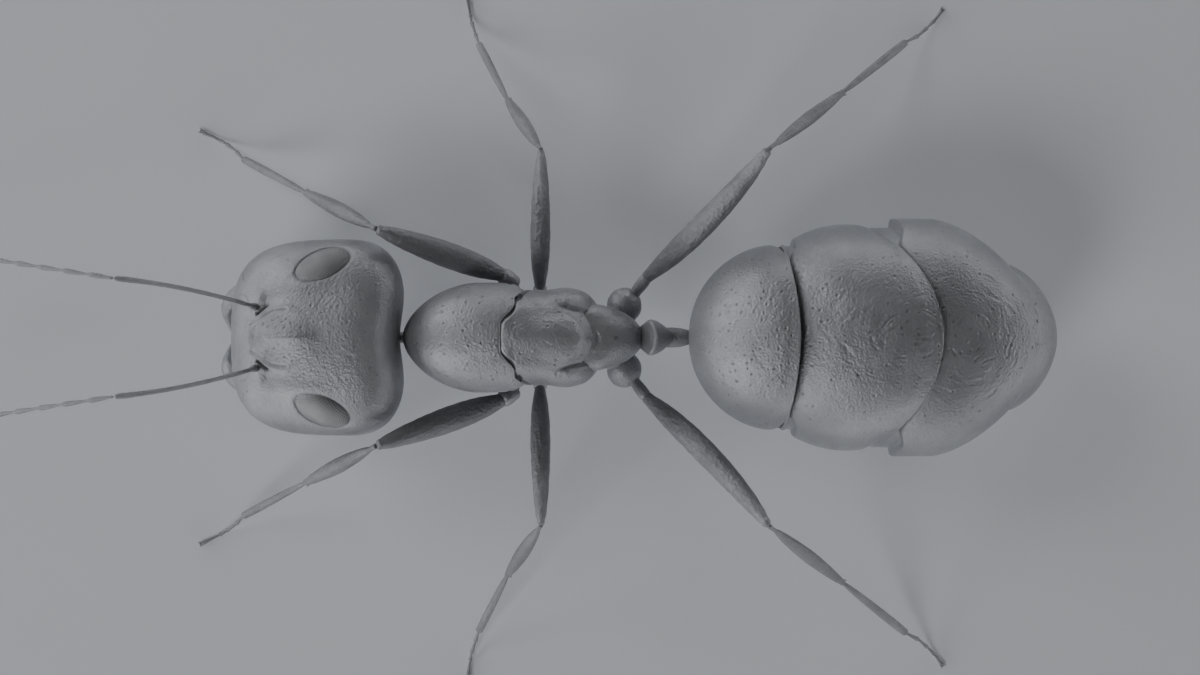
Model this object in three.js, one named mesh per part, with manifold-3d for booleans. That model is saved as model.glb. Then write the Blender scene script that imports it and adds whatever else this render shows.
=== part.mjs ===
// A large worker of a giant forest ant, standing at rest on its six feet.
//
// Millimetres, +Z up. The ant faces -Y, its left side is +X and the floor is z = 0.
// Every plate of the shell, and every segment of the legs and antennae, is its own solid.
// A body plate is a loft along Y: its half width, top and bottom each follow a superellipse
// arc with its own peak. Neighbouring pieces overlap as drawn, and one of the two is cut
// back to a thin gap, so that they meet as the real plates do.

import * as THREE from 'three';
import { mergeVertices } from 'three/addons/utils/BufferGeometryUtils.js';
import Module from 'manifold-3d';

const wasm = await Module();
wasm.setup();

// ---------------------------------------------------------------- driving dimensions

const GAP = 0.05; // clearance between two pieces that meet
const THIN_LIMB = 0.25; // least radius of a leg or antenna segment in the solid

// Body plates. front and rear are places on Y, and axis is the height of the loft's centre
// line at each of them; cut is the share of the loft that is kept, with a flat rim behind.
// peak is the share where a profile is fullest; before and after say how blunt it is on
// either side of that. bow is how far the flanks of the rear rim lie in front of its middle,
// and how suddenly it turns there.
const HEAD = {
  front: -12.42, rear: -6.4, axis: [4.35, 5.25], square: 2.35,
  width: { size: 3.27, peak: 0.63, before: 2.65, after: 3.0 },
  top: { size: 1.95, peak: 0.64, before: 2.1, after: 2.6 },
  bottom: { size: 1.8, peak: 0.58, before: 2.6, after: 2.8 },
};
const PRONOTUM = {
  front: -6.6, rear: -2.1, axis: [5.15, 5.4], square: 2.15,
  width: { size: 1.84, peak: 0.7, before: 1.8, after: 2.6 },
  top: { size: 1.9, peak: 0.74, before: 1.9, after: 3.0 },
  bottom: { size: 1.75, peak: 0.7, before: 1.8, after: 2.6 },
};
const NECK = { place: [0, -6.45, 5.0], size: [0.55, 0.5, 0.55] };
const MESOTHORAX = {
  front: -3.36, rear: 0.1, axis: [5.4, 5.2], square: 2.25,
  width: { size: 1.58, peak: 0.45, before: 2.6, after: 3.4 },
  top: { size: 1.98, peak: 0.4, before: 2.6, after: 2.3 },
  bottom: { size: 1.75, peak: 0.5, before: 3.0, after: 3.0 },
};
const PROPODEUM = {
  front: -1.3, rear: 1.46, axis: [5.0, 4.7], square: 2.2,
  width: { size: 1.26, peak: 0.36, before: 2.5, after: 1.9 },
  top: { size: 1.62, peak: 0.36, before: 2.5, after: 1.9 },
  bottom: { size: 1.6, peak: 0.4, before: 2.5, after: 2.2 },
};
const STALK = {
  front: 0.9, rear: 3.08, axis: [4.35, 4.5], square: 2.0,
  width: { size: 0.34, peak: 0.5, before: 5, after: 5 },
  top: { size: 0.4, peak: 0.5, before: 5, after: 5 },
  bottom: { size: 0.4, peak: 0.5, before: 5, after: 5 },
};
const STALK_NODE = { y: 1.62, foot: 4.0, crest: 5.98, halfWidth: 0.6, thickness: 0.3, lean: 0.14 };

// The four visible rings of the abdomen, front to back.
const GASTER = [
  {
    front: 2.96, rear: 8.58, cut: 0.625, axis: [4.95, 5.4], square: 2.1,
    bow: { size: 0.42, power: 3 },
    width: { size: 3.08, peak: 0.56, before: 2.05, after: 2.5 },
    top: { size: 3.0, peak: 0.56, before: 2.0, after: 2.5 },
    bottom: { size: 2.75, peak: 0.54, before: 1.9, after: 2.5 },
  },
  {
    front: 4.6, rear: 13.65, cut: 0.714, axis: [5.3, 5.0], square: 2.1,
    bow: { size: 1.8, power: 2.2 },
    width: { size: 3.75, peak: 0.5, before: 2.3, after: 2.5 },
    top: { size: 3.38, peak: 0.53, before: 2.0, after: 2.6 },
    bottom: { size: 3.15, peak: 0.48, before: 2.1, after: 2.4 },
  },
  {
    front: 9.5, rear: 15.75, cut: 0.8, axis: [5.1, 4.75], square: 2.1,
    bow: { size: 1.15, power: 2.7 },
    width: { size: 3.94, peak: 0.2, before: 5.0, after: 1.85 },
    top: { size: 3.12, peak: 0.3, before: 3.0, after: 1.9 },
    bottom: { size: 3.0, peak: 0.2, before: 4.0, after: 1.85 },
  },
  {
    front: 12.0, rear: 15.3, cut: 1, axis: [4.8, 4.6], square: 2.0,
    bow: { size: 0, power: 1 },
    width: { size: 2.58, peak: 0.37, before: 2.0, after: 1.62 },
    top: { size: 2.2, peak: 0.4, before: 2.0, after: 1.8 },
    bottom: { size: 2.1, peak: 0.4, before: 2.0, after: 1.8 },
  },
];

// Relief of the head: the hollow behind, the raised face and the antenna pits.
const OCCIPUT_HOLLOW = { depth: 0.2, halfWidth: 1.3 };
const FACE = { y: -10.4, halfWidth: 0.8, halfLength: 1.0, height: 0.1 };
const ANTENNA_PIT = { x: 1.28, y: -10.85, radius: 0.36, depth: 0.2 };

const EYE = { place: [2.42, -9.08, 6.02], size: [0.9, 0.62, 0.46], outward: 38, splay: 17 };
const MANDIBLE = {
  hinge: [1.75, -11.7, 3.95], bend: [1.4, -12.95, 3.75], tip: [0.18, -12.62, 2.75],
  thick: 0.38, tall: 0.62, tipShare: 0.42,
};
const THORAX_LOBE = { place: [1.2, -0.95, 5.2], size: [0.95, 0.56, 1.15] };
const HIND_COXA = { place: [1.12, 0.85, 4.05], size: [0.62, 0.56, 0.64] };

// Antennae: the first long joint, then eleven short ones that droop towards the tip.
const SCAPE = { base: [0.97, -11.2, 5.9], elbow: [1.82, -14.97, 9.3], bow: 0.35 };
const FUNICULUS = { joints: 11, length: 1.0, heading: 81.4, drop: 20, droop: 2.2, swell: 0.035 };

// Legs. Each step runs from one joint to the next: its length seen from above, its heading
// in degrees from straight out towards the head, the height of its far end, its radius.
const LEGS = {
  front: {
    hip: [0.8, -4.2, 3.95],
    coxa: { reach: 1.72, heading: -54.5, height: 3.4, radius: 0.5 },
    trochanter: { reach: 0.6, heading: 57, height: 3.7, radius: 0.28 },
    femur: { reach: 4.21, heading: 70.6, height: 6.4, radius: 0.46 },
    tibia: { reach: 3.26, heading: 62.8, height: 3.1, radius: 0.29 },
    heel: { reach: 2.98, heading: 62.2, height: 0.85, radius: 0.25 },
    toes: [[0.46, 45, 0.55], [0.51, 55, 0.3], [0.3, 61, 0.2], [0.8, 64, 0.2]],
  },
  mid: {
    hip: [0.7, -1.9, 3.8],
    coxa: { reach: 0.62, heading: 14, height: 3.4, radius: 0.48 },
    trochanter: { reach: 0.35, heading: 0, height: 3.7, radius: 0.27 },
    femur: { reach: 4.34, heading: -2.2, height: 7.4, radius: 0.37 },
    tibia: { reach: 2.58, heading: 30.7, height: 3.2, radius: 0.28 },
    heel: { reach: 2.6, heading: 26.2, height: 0.9, radius: 0.25 },
    toes: [[0.46, 19.3, 0.58], [0.5, 18.2, 0.32], [0.28, 12, 0.2], [0.62, 8, 0.2]],
  },
  hind: {
    hip: [0.8, 0.5, 4.05],
    coxa: { reach: 0.7, heading: -46, height: 4.1, radius: 0.5 },
    trochanter: { reach: 0.88, heading: -37, height: 4.4, radius: 0.27 },
    femur: { reach: 5.45, heading: -43.8, height: 8.2, radius: 0.42 },
    tibia: { reach: 3.99, heading: -50.5, height: 3.3, radius: 0.285 },
    heel: { reach: 3.35, heading: -50.5, height: 0.95, radius: 0.25 },
    toes: [[0.53, -51, 0.6], [0.48, -50, 0.34], [0.34, -44, 0.2], [0.62, -39, 0.2]],
  },
};
const SOLE_WIDEN = 1.06; // the last joints are this much thicker, so that each has a flat sole

// Facets of the solids.
const HEAD_GRID = { rings: 21, sides: 22 };
const PLATE_GRID = { rings: 12, sides: 18 };
const EGG_GRID = { rings: 7, sides: 10 };

const COLOURS = { shell: 0x7b7d82, eye: 0x6e7075, limb: 0x74767b };

// ---------------------------------------------------------------- shape tools

const { degToRad, smoothstep, lerp } = THREE.MathUtils;
const bell = (distance) => Math.exp(-distance * distance);
const signedPower = (value, power) => Math.sign(value) * Math.abs(value) ** power;

/** 1 at the peak, 0 at both ends, falling off as a superellipse arc on either side. */
function arc(share, { peak, before, after }) {
  const power = share < peak ? before : after;
  const off = share < peak ? (peak - share) / peak : (share - peak) / (1 - peak);
  return Math.max(0, 1 - off ** power) ** (1 / power);
}

/** Keeps 1 along a limb and rounds to 0 at both of its ends. */
const blunt = (share) => (1 - Math.abs(2 * share - 1) ** 12) ** (1 / 12);

/** A closed surface: rings of points between two poles, with its faces pointing out. */
function closedSurface(pointAt, { rings, sides }, even = false) {
  const points = [pointAt(0, 0)];
  for (let ring = 1; ring < rings; ring++) {
    const share = even ? ring / rings : 0.5 - 0.5 * Math.cos((Math.PI * ring) / rings);
    for (let side = 0; side < sides; side++) points.push(pointAt(share, (2 * Math.PI * (side + 0.5)) / sides));
  }
  points.push(pointAt(1, 0));
  const at = (ring, side) => 1 + (ring - 1) * sides + (side % sides);
  const last = points.length - 1;
  const faces = [];
  for (let side = 0; side < sides; side++) {
    faces.push(0, at(1, side), at(1, side + 1));
    for (let ring = 1; ring < rings - 1; ring++) {
      faces.push(at(ring, side), at(ring + 1, side), at(ring + 1, side + 1));
      faces.push(at(ring, side), at(ring + 1, side + 1), at(ring, side + 1));
    }
    faces.push(at(rings - 1, side), last, at(rings - 1, side + 1));
  }
  return new THREE.BufferGeometry().setFromPoints(points).setIndex(faces);
}

/** A body plate: a loft along Y, grown all round by `grow`, its points moved by `relief`. */
function plate(shape, { grow = 0, relief, grid = PLATE_GRID } = {}) {
  const { cut = 1, bow = { size: 0, power: 1 } } = shape;
  const last = lerp(shape.front, shape.rear, cut);
  return closedSurface((share, angle) => {
    const along = share * cut;
    const across = signedPower(Math.cos(angle), 2 / shape.square);
    const up = signedPower(Math.sin(angle), 2 / shape.square);
    const side = up > 0 ? shape.top : shape.bottom;
    const open = share < 1 ? 1 : 0;
    const point = new THREE.Vector3(
      open * across * (shape.width.size + grow) * arc(along, shape.width),
      lerp(shape.front - grow, last + grow, share),
      lerp(shape.axis[0], shape.axis[1], along) + open * up * (side.size + grow) * arc(along, side),
    );
    point.y -= open * bow.size * Math.abs(across) ** bow.power * share * share;
    return relief ? relief(point, share) : point;
  }, grid);
}

/** An egg of half sizes [long, wide, tall], its long axis on Y, turned and put in its place. */
function egg({ place, size: [long, wide, tall] }, grow = 0, turn = new THREE.Euler()) {
  const geometry = closedSurface((share, angle) => {
    const radius = Math.sqrt(Math.max(0, 1 - (2 * share - 1) ** 2));
    return new THREE.Vector3(
      (wide + grow) * radius * Math.cos(angle),
      (long + grow) * (2 * share - 1),
      (tall + grow) * radius * Math.sin(angle));
  }, EGG_GRID);
  return geometry.applyMatrix4(new THREE.Matrix4().makeRotationFromEuler(turn).setPosition(...place));
}

/** A limb segment: a tube along a curve, upright all the way, with radius radiusAt(share). */
function tube(curve, radiusAt, grid, even = false) {
  const vertical = new THREE.Vector3(0, 0, 1);
  return closedSurface((share, angle) => {
    const tangent = curve.getTangentAt(share);
    const across = new THREE.Vector3().crossVectors(tangent, vertical).normalize();
    const up = new THREE.Vector3().crossVectors(across, tangent);
    const radius = radiusAt(share);
    const point = curve.getPointAt(share)
      .addScaledVector(across, radius * Math.cos(angle))
      .addScaledVector(up, radius * Math.sin(angle));
    point.z = Math.max(0, point.z);
    return point;
  }, grid, even);
}

/** A path through points, joined by straight lines. */
function straightPath(points) {
  const path = new THREE.CurvePath();
  for (let i = 1; i < points.length; i++) path.add(new THREE.LineCurve3(points[i - 1], points[i]));
  return path;
}

/** The solid of a closed geometry. */
function solid(geometry) {
  const bare = new THREE.BufferGeometry();
  bare.setAttribute('position', geometry.getAttribute('position'));
  bare.setIndex(geometry.getIndex());
  const merged = mergeVertices(bare, 1e-4);
  return new wasm.Manifold(new wasm.Mesh({
    numProp: 3,
    vertProperties: new Float32Array(merged.attributes.position.array),
    triVerts: new Uint32Array(merged.index.array),
  }));
}

/** The geometry of a solid. */
function geometryOf(manifold) {
  const mesh = manifold.getMesh();
  const geometry = new THREE.BufferGeometry();
  geometry.setAttribute('position', new THREE.BufferAttribute(mesh.vertProperties, 3));
  geometry.setIndex(new THREE.BufferAttribute(mesh.triVerts, 1));
  geometry.computeVertexNormals();
  return geometry;
}

/** A geometry with the cutters taken out of it; the largest body that is left. */
function cutBy(geometry, ...cutters) {
  let left = solid(geometry);
  for (const cutter of cutters) left = left.subtract(solid(cutter));
  return geometryOf(left.decompose().reduce((best, body) => (body.volume() > best.volume() ? body : best)));
}

/** Several geometries joined into one. */
const joined = (...parts) => geometryOf(parts.map(solid).reduce((all, part) => all.add(part)));

/** The mirror image of a geometry on the ant's other side. */
function mirrored(geometry) {
  const other = geometry.clone().scale(-1, 1, 1);
  other.index.array.reverse();
  return other;
}

const materials = {
  shell: new THREE.MeshStandardMaterial({ color: COLOURS.shell, roughness: 0.42, metalness: 0 }),
  eye: new THREE.MeshStandardMaterial({ color: COLOURS.eye, roughness: 0.35, metalness: 0 }),
  limb: new THREE.MeshStandardMaterial({ color: COLOURS.limb, roughness: 0.45, metalness: 0 }),
};

const ant = new THREE.Group();

/** Adds one named piece to the ant. */
function add(name, geometry, material = materials.shell) {
  const mesh = new THREE.Mesh(geometry, material);
  mesh.name = name;
  ant.add(mesh);
}

/** Adds a piece of the left side and its mirror image; % in the name stands for the side. */
function addPair(name, geometry, material = materials.shell) {
  add(name.replace('%', 'left'), geometry, material);
  add(name.replace('%', 'right'), mirrored(geometry), material);
}

// ---------------------------------------------------------------- shapes of the left side

/** Hollows the back of the head, raises the face and sinks the antenna pits. */
function headRelief(point, share) {
  const { x, y } = point;
  point.y -= OCCIPUT_HOLLOW.depth * bell(x / OCCIPUT_HOLLOW.halfWidth) * smoothstep(share, 0.6, 1);
  if (point.z > lerp(HEAD.axis[0], HEAD.axis[1], share) + 0.5) {
    point.z += FACE.height * bell(x / FACE.halfWidth) * bell((y - FACE.y) / FACE.halfLength);
    const off = Math.hypot(Math.abs(x) - ANTENNA_PIT.x, y - ANTENNA_PIT.y) / ANTENNA_PIT.radius;
    point.z -= ANTENNA_PIT.depth * bell(off);
  }
  return point;
}

/** The eye: an egg laid on the slope of the head, its rear end turned out. */
function eye(grow = 0) {
  const turn = new THREE.Euler(0, degToRad(EYE.outward), degToRad(-EYE.splay), 'ZYX');
  return egg(EYE, grow, turn);
}

/** The closed jaw: a bent blade from its hinge at the corner of the head to its tip. */
function mandible() {
  const [hinge, bend, tip] = [MANDIBLE.hinge, MANDIBLE.bend, MANDIBLE.tip]
    .map((point) => new THREE.Vector3(...point));
  const curve = new THREE.QuadraticBezierCurve3(hinge, bend, tip);
  return closedSurface((share, angle) => {
    const tangent = curve.getTangentAt(share);
    const across = new THREE.Vector3(tangent.y, -tangent.x, 0).normalize();
    const up = new THREE.Vector3().crossVectors(across, tangent);
    const size = blunt(share) * lerp(1, MANDIBLE.tipShare, share * share);
    return curve.getPointAt(share)
      .addScaledVector(across, MANDIBLE.thick * size * Math.cos(angle))
      .addScaledVector(up, MANDIBLE.tall * size * Math.sin(angle));
  }, { rings: 6, sides: 8 });
}

/** The first long joint of the antenna, bowed upwards. */
function scape(grow = 0) {
  const [base, elbow] = [new THREE.Vector3(...SCAPE.base), new THREE.Vector3(...SCAPE.elbow)];
  const middle = base.clone().lerp(elbow, 0.5);
  middle.z += SCAPE.bow;
  const curve = new THREE.QuadraticBezierCurve3(base, middle, elbow);
  return tube(curve, (share) => (THIN_LIMB + grow) * blunt(share), { rings: 8, sides: 8 });
}

/** The eleven short joints of the antenna, each a little swollen before its far end. */
function funiculus() {
  const points = [new THREE.Vector3(...SCAPE.elbow)];
  for (let joint = 0; joint < FUNICULUS.joints; joint++) {
    const drop = degToRad(FUNICULUS.drop + FUNICULUS.droop * joint);
    const step = headed(FUNICULUS.length * Math.cos(drop), FUNICULUS.heading);
    step.z = -FUNICULUS.length * Math.sin(drop);
    points.push(points[joint].clone().add(step));
  }
  const swelling = (share) => FUNICULUS.swell * Math.sin(Math.PI * ((share * FUNICULUS.joints) % 1)) ** 2;
  return tube(
    straightPath(points),
    (share) => (THIN_LIMB - FUNICULUS.swell / 2 + swelling(share)) * (share === 0 || share === 1 ? 0 : 1),
    { rings: FUNICULUS.joints * 2, sides: 6 }, true);
}

/** A level step of a given length; its heading is in degrees from +X towards the head. */
function headed(reach, heading) {
  return new THREE.Vector3(Math.cos(degToRad(heading)), -Math.sin(degToRad(heading)), 0).multiplyScalar(reach);
}

/** The joints of a leg, from the hip to the tip of its last toe. */
function legJoints({ hip, coxa, trochanter, femur, tibia, heel, toes }) {
  const joints = [new THREE.Vector3(...hip)];
  const toeSteps = toes.map(([reach, heading, height]) => ({ reach, heading, height }));
  for (const { reach, heading, height } of [coxa, trochanter, femur, tibia, heel, ...toeSteps]) {
    const next = joints[joints.length - 1].clone().add(headed(reach, heading));
    next.z = height;
    joints.push(next);
  }
  return joints;
}

/** A segment that swells from its ends to `radius`, never thinner than a thin limb. */
const spindle = (radius, peak, grow = 0) => (share) => {
  const swell = arc(share, { peak, before: 1.9, after: 2.0 });
  return (Math.max(THIN_LIMB, radius * swell) + grow) * blunt(share);
};

/** The four solids of one left leg: coxa, femur with its trochanter, tibia and tarsus. */
function leg(name, body) {
  const shape = LEGS[name];
  const joints = legJoints(shape);
  const [hip, coxaEnd, thighStart, knee, ankle] = joints;
  const femurPath = straightPath([coxaEnd, thighStart, knee]);
  const tibiaPath = straightPath([knee, ankle]);
  const coxa = (grow) => (name === 'hind'
    ? egg(HIND_COXA, grow)
    : tube(straightPath([hip, coxaEnd]), spindle(shape.coxa.radius, 0.45, grow), { rings: 6, sides: 8 }));
  const femur = (grow) => tube(femurPath, spindle(shape.femur.radius, 0.48, grow), { rings: 9, sides: 8 });
  const tibia = (grow) => tube(tibiaPath, spindle(shape.tibia.radius, 0.6, grow), { rings: 6, sides: 8 });
  const sole = (share) => THIN_LIMB * lerp(1, SOLE_WIDEN, smoothstep(share, 0.6, 0.8)) * blunt(share);
  addPair(`leg_${name}_%_coxa`, cutBy(coxa(0), ...body), materials.limb);
  addPair(`leg_${name}_%_femur`, cutBy(femur(0), coxa(GAP), ...body), materials.limb);
  addPair(`leg_${name}_%_tibia`, cutBy(tibia(0), femur(GAP)), materials.limb);
  const tarsus = tube(straightPath(joints.slice(4)), sole, { rings: 10, sides: 8 });
  addPair(`leg_${name}_%_tarsus`, cutBy(tarsus, tibia(GAP)), materials.limb);
}

// ---------------------------------------------------------------- the ant

const head = (grow) => plate(HEAD, { grow, relief: headRelief, grid: HEAD_GRID });
const pronotum = (grow) => joined(plate(PRONOTUM, { grow }), egg(NECK, grow));
const lobe = (grow) => egg(THORAX_LOBE, grow);
const mesothorax = (grow) => joined(plate(MESOTHORAX, { grow }), lobe(grow), mirrored(lobe(grow)));

/** The stalk of the waist with its upright node. */
function petiole(grow) {
  const { y, foot, crest, halfWidth, thickness, lean } = STALK_NODE;
  const node = closedSurface((share, angle) => {
    const height = share * (crest - foot);
    const fullness = arc(share, { peak: 0.62, before: 3, after: 3.2 });
    const thin = lerp(1, 0.55, share);
    return new THREE.Vector3(
      (halfWidth * lerp(0.62, 1, smoothstep(share, 0.1, 0.75)) + grow) * fullness * Math.cos(angle),
      y + lean * share - (thickness * thin + grow) * fullness * Math.sin(angle),
      foot + height + grow * (2 * share - 1));
  }, { rings: 8, sides: 12 });
  return joined(plate(STALK, { grow, grid: { rings: 6, sides: 10 } }), node);
}

add('head', cutBy(
  head(0), pronotum(GAP), eye(GAP), mirrored(eye(GAP)), scape(GAP), mirrored(scape(GAP))));
addPair('eye_%', eye(), materials.eye);
addPair('mandible_%', cutBy(mandible(), head(GAP)));
addPair('antenna_%_scape', scape(), materials.limb);
addPair('antenna_%_funiculus', cutBy(funiculus(), scape(GAP)), materials.limb);

add('pronotum', cutBy(pronotum(0), mesothorax(GAP)));
add('mesothorax', mesothorax(0));
add('propodeum', cutBy(plate(PROPODEUM), mesothorax(GAP)));
add('petiole', cutBy(petiole(0), plate(PROPODEUM, { grow: GAP })));
GASTER.forEach((ring, index) => {
  const inFront = index === 0 ? petiole(GAP) : plate(GASTER[index - 1], { grow: GAP });
  add(`gaster_${index + 1}`, cutBy(plate(ring), inFront));
});

const trunk = [pronotum(GAP), mesothorax(GAP), plate(PROPODEUM, { grow: GAP }), petiole(GAP)];
for (const name of Object.keys(LEGS)) leg(name, trunk);

// The middle of the ant's length stands over the origin.
const extent = new THREE.Box3().setFromObject(ant);
const shift = -(extent.min.y + extent.max.y) / 2;
for (const mesh of ant.children) mesh.geometry.translate(0, shift, -extent.min.z);

export default ant;
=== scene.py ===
"""A large worker of a giant forest ant, standing at rest on its six feet.

The CAD frame is loaded first and gives the ant's place. Every plate of the shell and every
segment of the limbs is a surface worked out with numpy on a grid, in millimetres, and
replaces the CAD node of the same name. The ant faces -Y and its left side is +X.
"""

import logging
from dataclasses import dataclass, field
from enum import Enum
from typing import Callable, Optional, Sequence

import bpy
import numpy as np
from mathutils import Euler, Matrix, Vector
from numpy.typing import NDArray


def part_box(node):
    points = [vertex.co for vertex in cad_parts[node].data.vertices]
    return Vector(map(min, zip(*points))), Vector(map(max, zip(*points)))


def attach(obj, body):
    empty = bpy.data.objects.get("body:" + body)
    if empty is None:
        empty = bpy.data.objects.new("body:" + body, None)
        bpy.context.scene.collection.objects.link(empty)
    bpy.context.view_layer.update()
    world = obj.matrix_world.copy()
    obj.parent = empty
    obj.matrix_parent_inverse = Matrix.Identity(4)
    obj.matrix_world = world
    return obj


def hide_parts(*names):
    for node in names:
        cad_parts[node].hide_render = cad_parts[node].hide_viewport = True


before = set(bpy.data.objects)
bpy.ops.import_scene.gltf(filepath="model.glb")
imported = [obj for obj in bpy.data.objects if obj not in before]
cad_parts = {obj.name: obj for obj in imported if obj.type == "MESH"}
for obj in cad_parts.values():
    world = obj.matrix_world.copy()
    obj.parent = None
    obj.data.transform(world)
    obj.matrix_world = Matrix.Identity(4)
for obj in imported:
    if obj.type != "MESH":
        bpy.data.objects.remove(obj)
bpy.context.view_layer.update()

Floats = NDArray[np.float64]
Pair = tuple[float, float]
Point = tuple[float, float, float]
Span = tuple[float, float, float, float]
Inputs = dict[str | int, object]

MM = 0.001
UP = np.array([0.0, 0.0, 1.0])
LOG = logging.getLogger("ant")

# Where the tip of the abdomen lies in the sizes below; the frame says where it lies in the row.
ABDOMEN_TIP = 15.3


class Slot(Enum):
    """The record's material slots."""

    SHELL = "shell"
    LIMB = "limb"
    EYE = "eye"


class Side(Enum):
    """The two halves of the body, with the sign of their x."""

    LEFT = 1
    RIGHT = -1

    @property
    def word(self) -> str:
        """The side's name as the CAD nodes spell it."""
        return self.name.lower()


# ------------------------------------------------------------------ numbers and curves


def smoothstep(low: float, high: float, value: Floats) -> Floats:
    """A rise from 0 at low to 1 at high, 3t^2 - 2t^3; with high below low it is a fall."""
    share = np.clip((value - low) / (high - low), 0.0, 1.0)
    return share * share * (3.0 - 2.0 * share)


def mix(first: Floats | float, second: Floats | float, share: Floats | float) -> Floats:
    """The straight blend first + (second - first) share."""
    return first + (second - first) * share


def bell(distance: Floats) -> Floats:
    """A bell of height 1 and half width 1: exp(-distance^2)."""
    return np.exp(-distance * distance)


def between(value: Floats, start: float, full: float, fading: float, end: float) -> Floats:
    """A share that rises from start to full and falls from fading to end."""
    return smoothstep(start, full, value) * smoothstep(end, fading, value)


def signed_power(value: Floats, power: float) -> Floats:
    """|value|^power with value's sign."""
    return np.sign(value) * np.abs(value) ** power


def unit(vector: Floats) -> Floats:
    """A vector of length 1 in the same direction."""
    return vector / np.linalg.norm(vector)


def spread(count: int, density: Callable[[Floats], Floats]) -> Floats:
    """Shares from 0 to 1 that lie closer together where density is high.

    The running sum of density is inverted at even steps.

    Args:
        count: How many shares, both ends included.
        density: Points per length as a function of the share.

    Returns:
        An increasing array of count shares.
    """
    fine = np.linspace(0.0, 1.0, 4001)
    total = np.concatenate([[0.0], np.cumsum(density(0.5 * (fine[1:] + fine[:-1])))])
    return np.interp(np.linspace(0.0, total[-1], count), total, fine)


def crowded_ends(first: Pair, last: Pair) -> Callable[[Floats], Floats]:
    """A density of 1 + a bell(t/w) + b bell((1 - t)/v), where first is (a, w) and last (b, v)."""
    return lambda t: 1.0 + first[0] * bell(t / first[1]) + last[0] * bell((1 - t) / last[1])


def section_angles(sides: int, crowd_top: float) -> Floats:
    """Angles in radians from 0 (the +X side), 1 + crowd_top sin(angle) as dense on the upper half."""
    share = spread(sides + 1, lambda t: 1.0 + crowd_top * np.maximum(0.0, np.sin(2 * np.pi * t)))
    return 2 * np.pi * share[:-1]


def curve_through(corners: Sequence[Sequence[float]], count: int) -> Floats:
    """A smooth curve through corners: a Catmull-Rom spline.

    Between two corners p1 and p2 it is the cubic with the slopes (p2 - p0)/2 and
    (p3 - p1)/2.

    Args:
        corners: Points of two or three numbers.
        count: How many points to return.

    Returns:
        Array of shape (count, 2 or 3).
    """
    corner = np.array(corners, float)
    padded = np.concatenate([[2 * corner[0] - corner[1]], corner, [2 * corner[-1] - corner[-2]]])
    place = np.linspace(0.0, len(corner) - 1.0, count)
    index = np.minimum(place.astype(int), len(corner) - 2)
    t = (place - index)[:, None]
    p0, p1, p2, p3 = (padded[index + i] for i in range(4))
    return 0.5 * (
        2 * p1 + (p2 - p0) * t + (2 * p0 - 5 * p1 + 4 * p2 - p3) * t**2
        + (3 * p1 - p0 - 3 * p2 + p3) * t**3
    )


@dataclass(frozen=True)
class Crease:
    """A rounded ridge along a smooth line, or a groove where its height is negative.

    The line has (x, y) corners on the map of the body seen from above.
    """

    height: float
    half_width: float
    corners: tuple[Pair, ...]

    def relief(self, x: Floats, y: Floats) -> Floats:
        """The ridge on a map: height bell(d/half_width), d being the distance off the line.

        The line is cut into short straight pieces, and the nearest point of each is taken.

        Args:
            x: Places across.
            y: Places along.

        Returns:
            Heights in millimetres, in the shape of x.
        """
        path = curve_through(self.corners, 6 * len(self.corners))
        nearest = np.full(x.shape, np.inf)
        for start, end in zip(path[:-1], path[1:]):
            step = end - start
            share = ((x - start[0]) * step[0] + (y - start[1]) * step[1]) / (step @ step)
            share = np.clip(share, 0.0, 1.0)
            away = np.hypot(x - start[0] - share * step[0], y - start[1] - share * step[1])
            nearest = np.minimum(nearest, away)
        return self.height * bell(nearest / self.half_width)


@dataclass(frozen=True)
class Mound:
    """A round or oval swelling on the same map, or a dip where its height is negative."""

    height: float
    centre: Pair
    half_size: Pair

    def relief(self, x: Floats, y: Floats) -> Floats:
        """The swelling on a map: height times a bell across and a bell along."""
        (x0, y0), (half_x, half_y) = self.centre, self.half_size
        return self.height * bell((x - x0) / half_x) * bell((y - y0) / half_y)


@dataclass(frozen=True)
class Arc:
    """A profile over a share of a length: size at peak, and 0 at both ends.

    On either side of the peak it is size (1 - d^p)^(1/p), where d is the distance from the
    peak as a share of the way to that end, and p says how blunt that side is.
    """

    size: float
    peak: float
    before: float
    after: float

    def at(self, share: Floats) -> Floats:
        """The profile's height at each share."""
        is_front = share < self.peak
        reach = np.where(is_front, self.peak, 1.0 - self.peak)
        power = np.where(is_front, self.before, self.after)
        off = np.clip(np.abs(share - self.peak) / reach, 0.0, 1.0)
        return self.size * np.maximum(0.0, 1.0 - off**power) ** (1.0 / power)


@dataclass(frozen=True)
class Ripples:
    """Smooth random unevenness: a sum of cosine waves in seeded random directions."""

    wavelength: float
    seed: int
    stretch: Point = (1.0, 1.0, 1.0)
    waves: int = 20

    def at(self, place: Floats) -> Floats:
        """The unevenness at each place, with a spread of about 1.

        Args:
            place: Array of shape (..., 3) in millimetres.

        Returns:
            Array of shape (...).
        """
        random = np.random.default_rng(self.seed)
        direction = random.normal(size=(self.waves, 3))
        direction /= np.linalg.norm(direction, axis=1, keepdims=True)
        length = self.wavelength * random.uniform(0.75, 1.4, self.waves)
        wave = direction * (2 * np.pi / length)[:, None] / np.array(self.stretch)
        phase = random.uniform(0.0, 2 * np.pi, self.waves)
        total = np.cos(place @ wave.T + phase).sum(axis=-1)
        return total / np.sqrt(self.waves / 2)


# ------------------------------------------------------------------ surfaces


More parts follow.
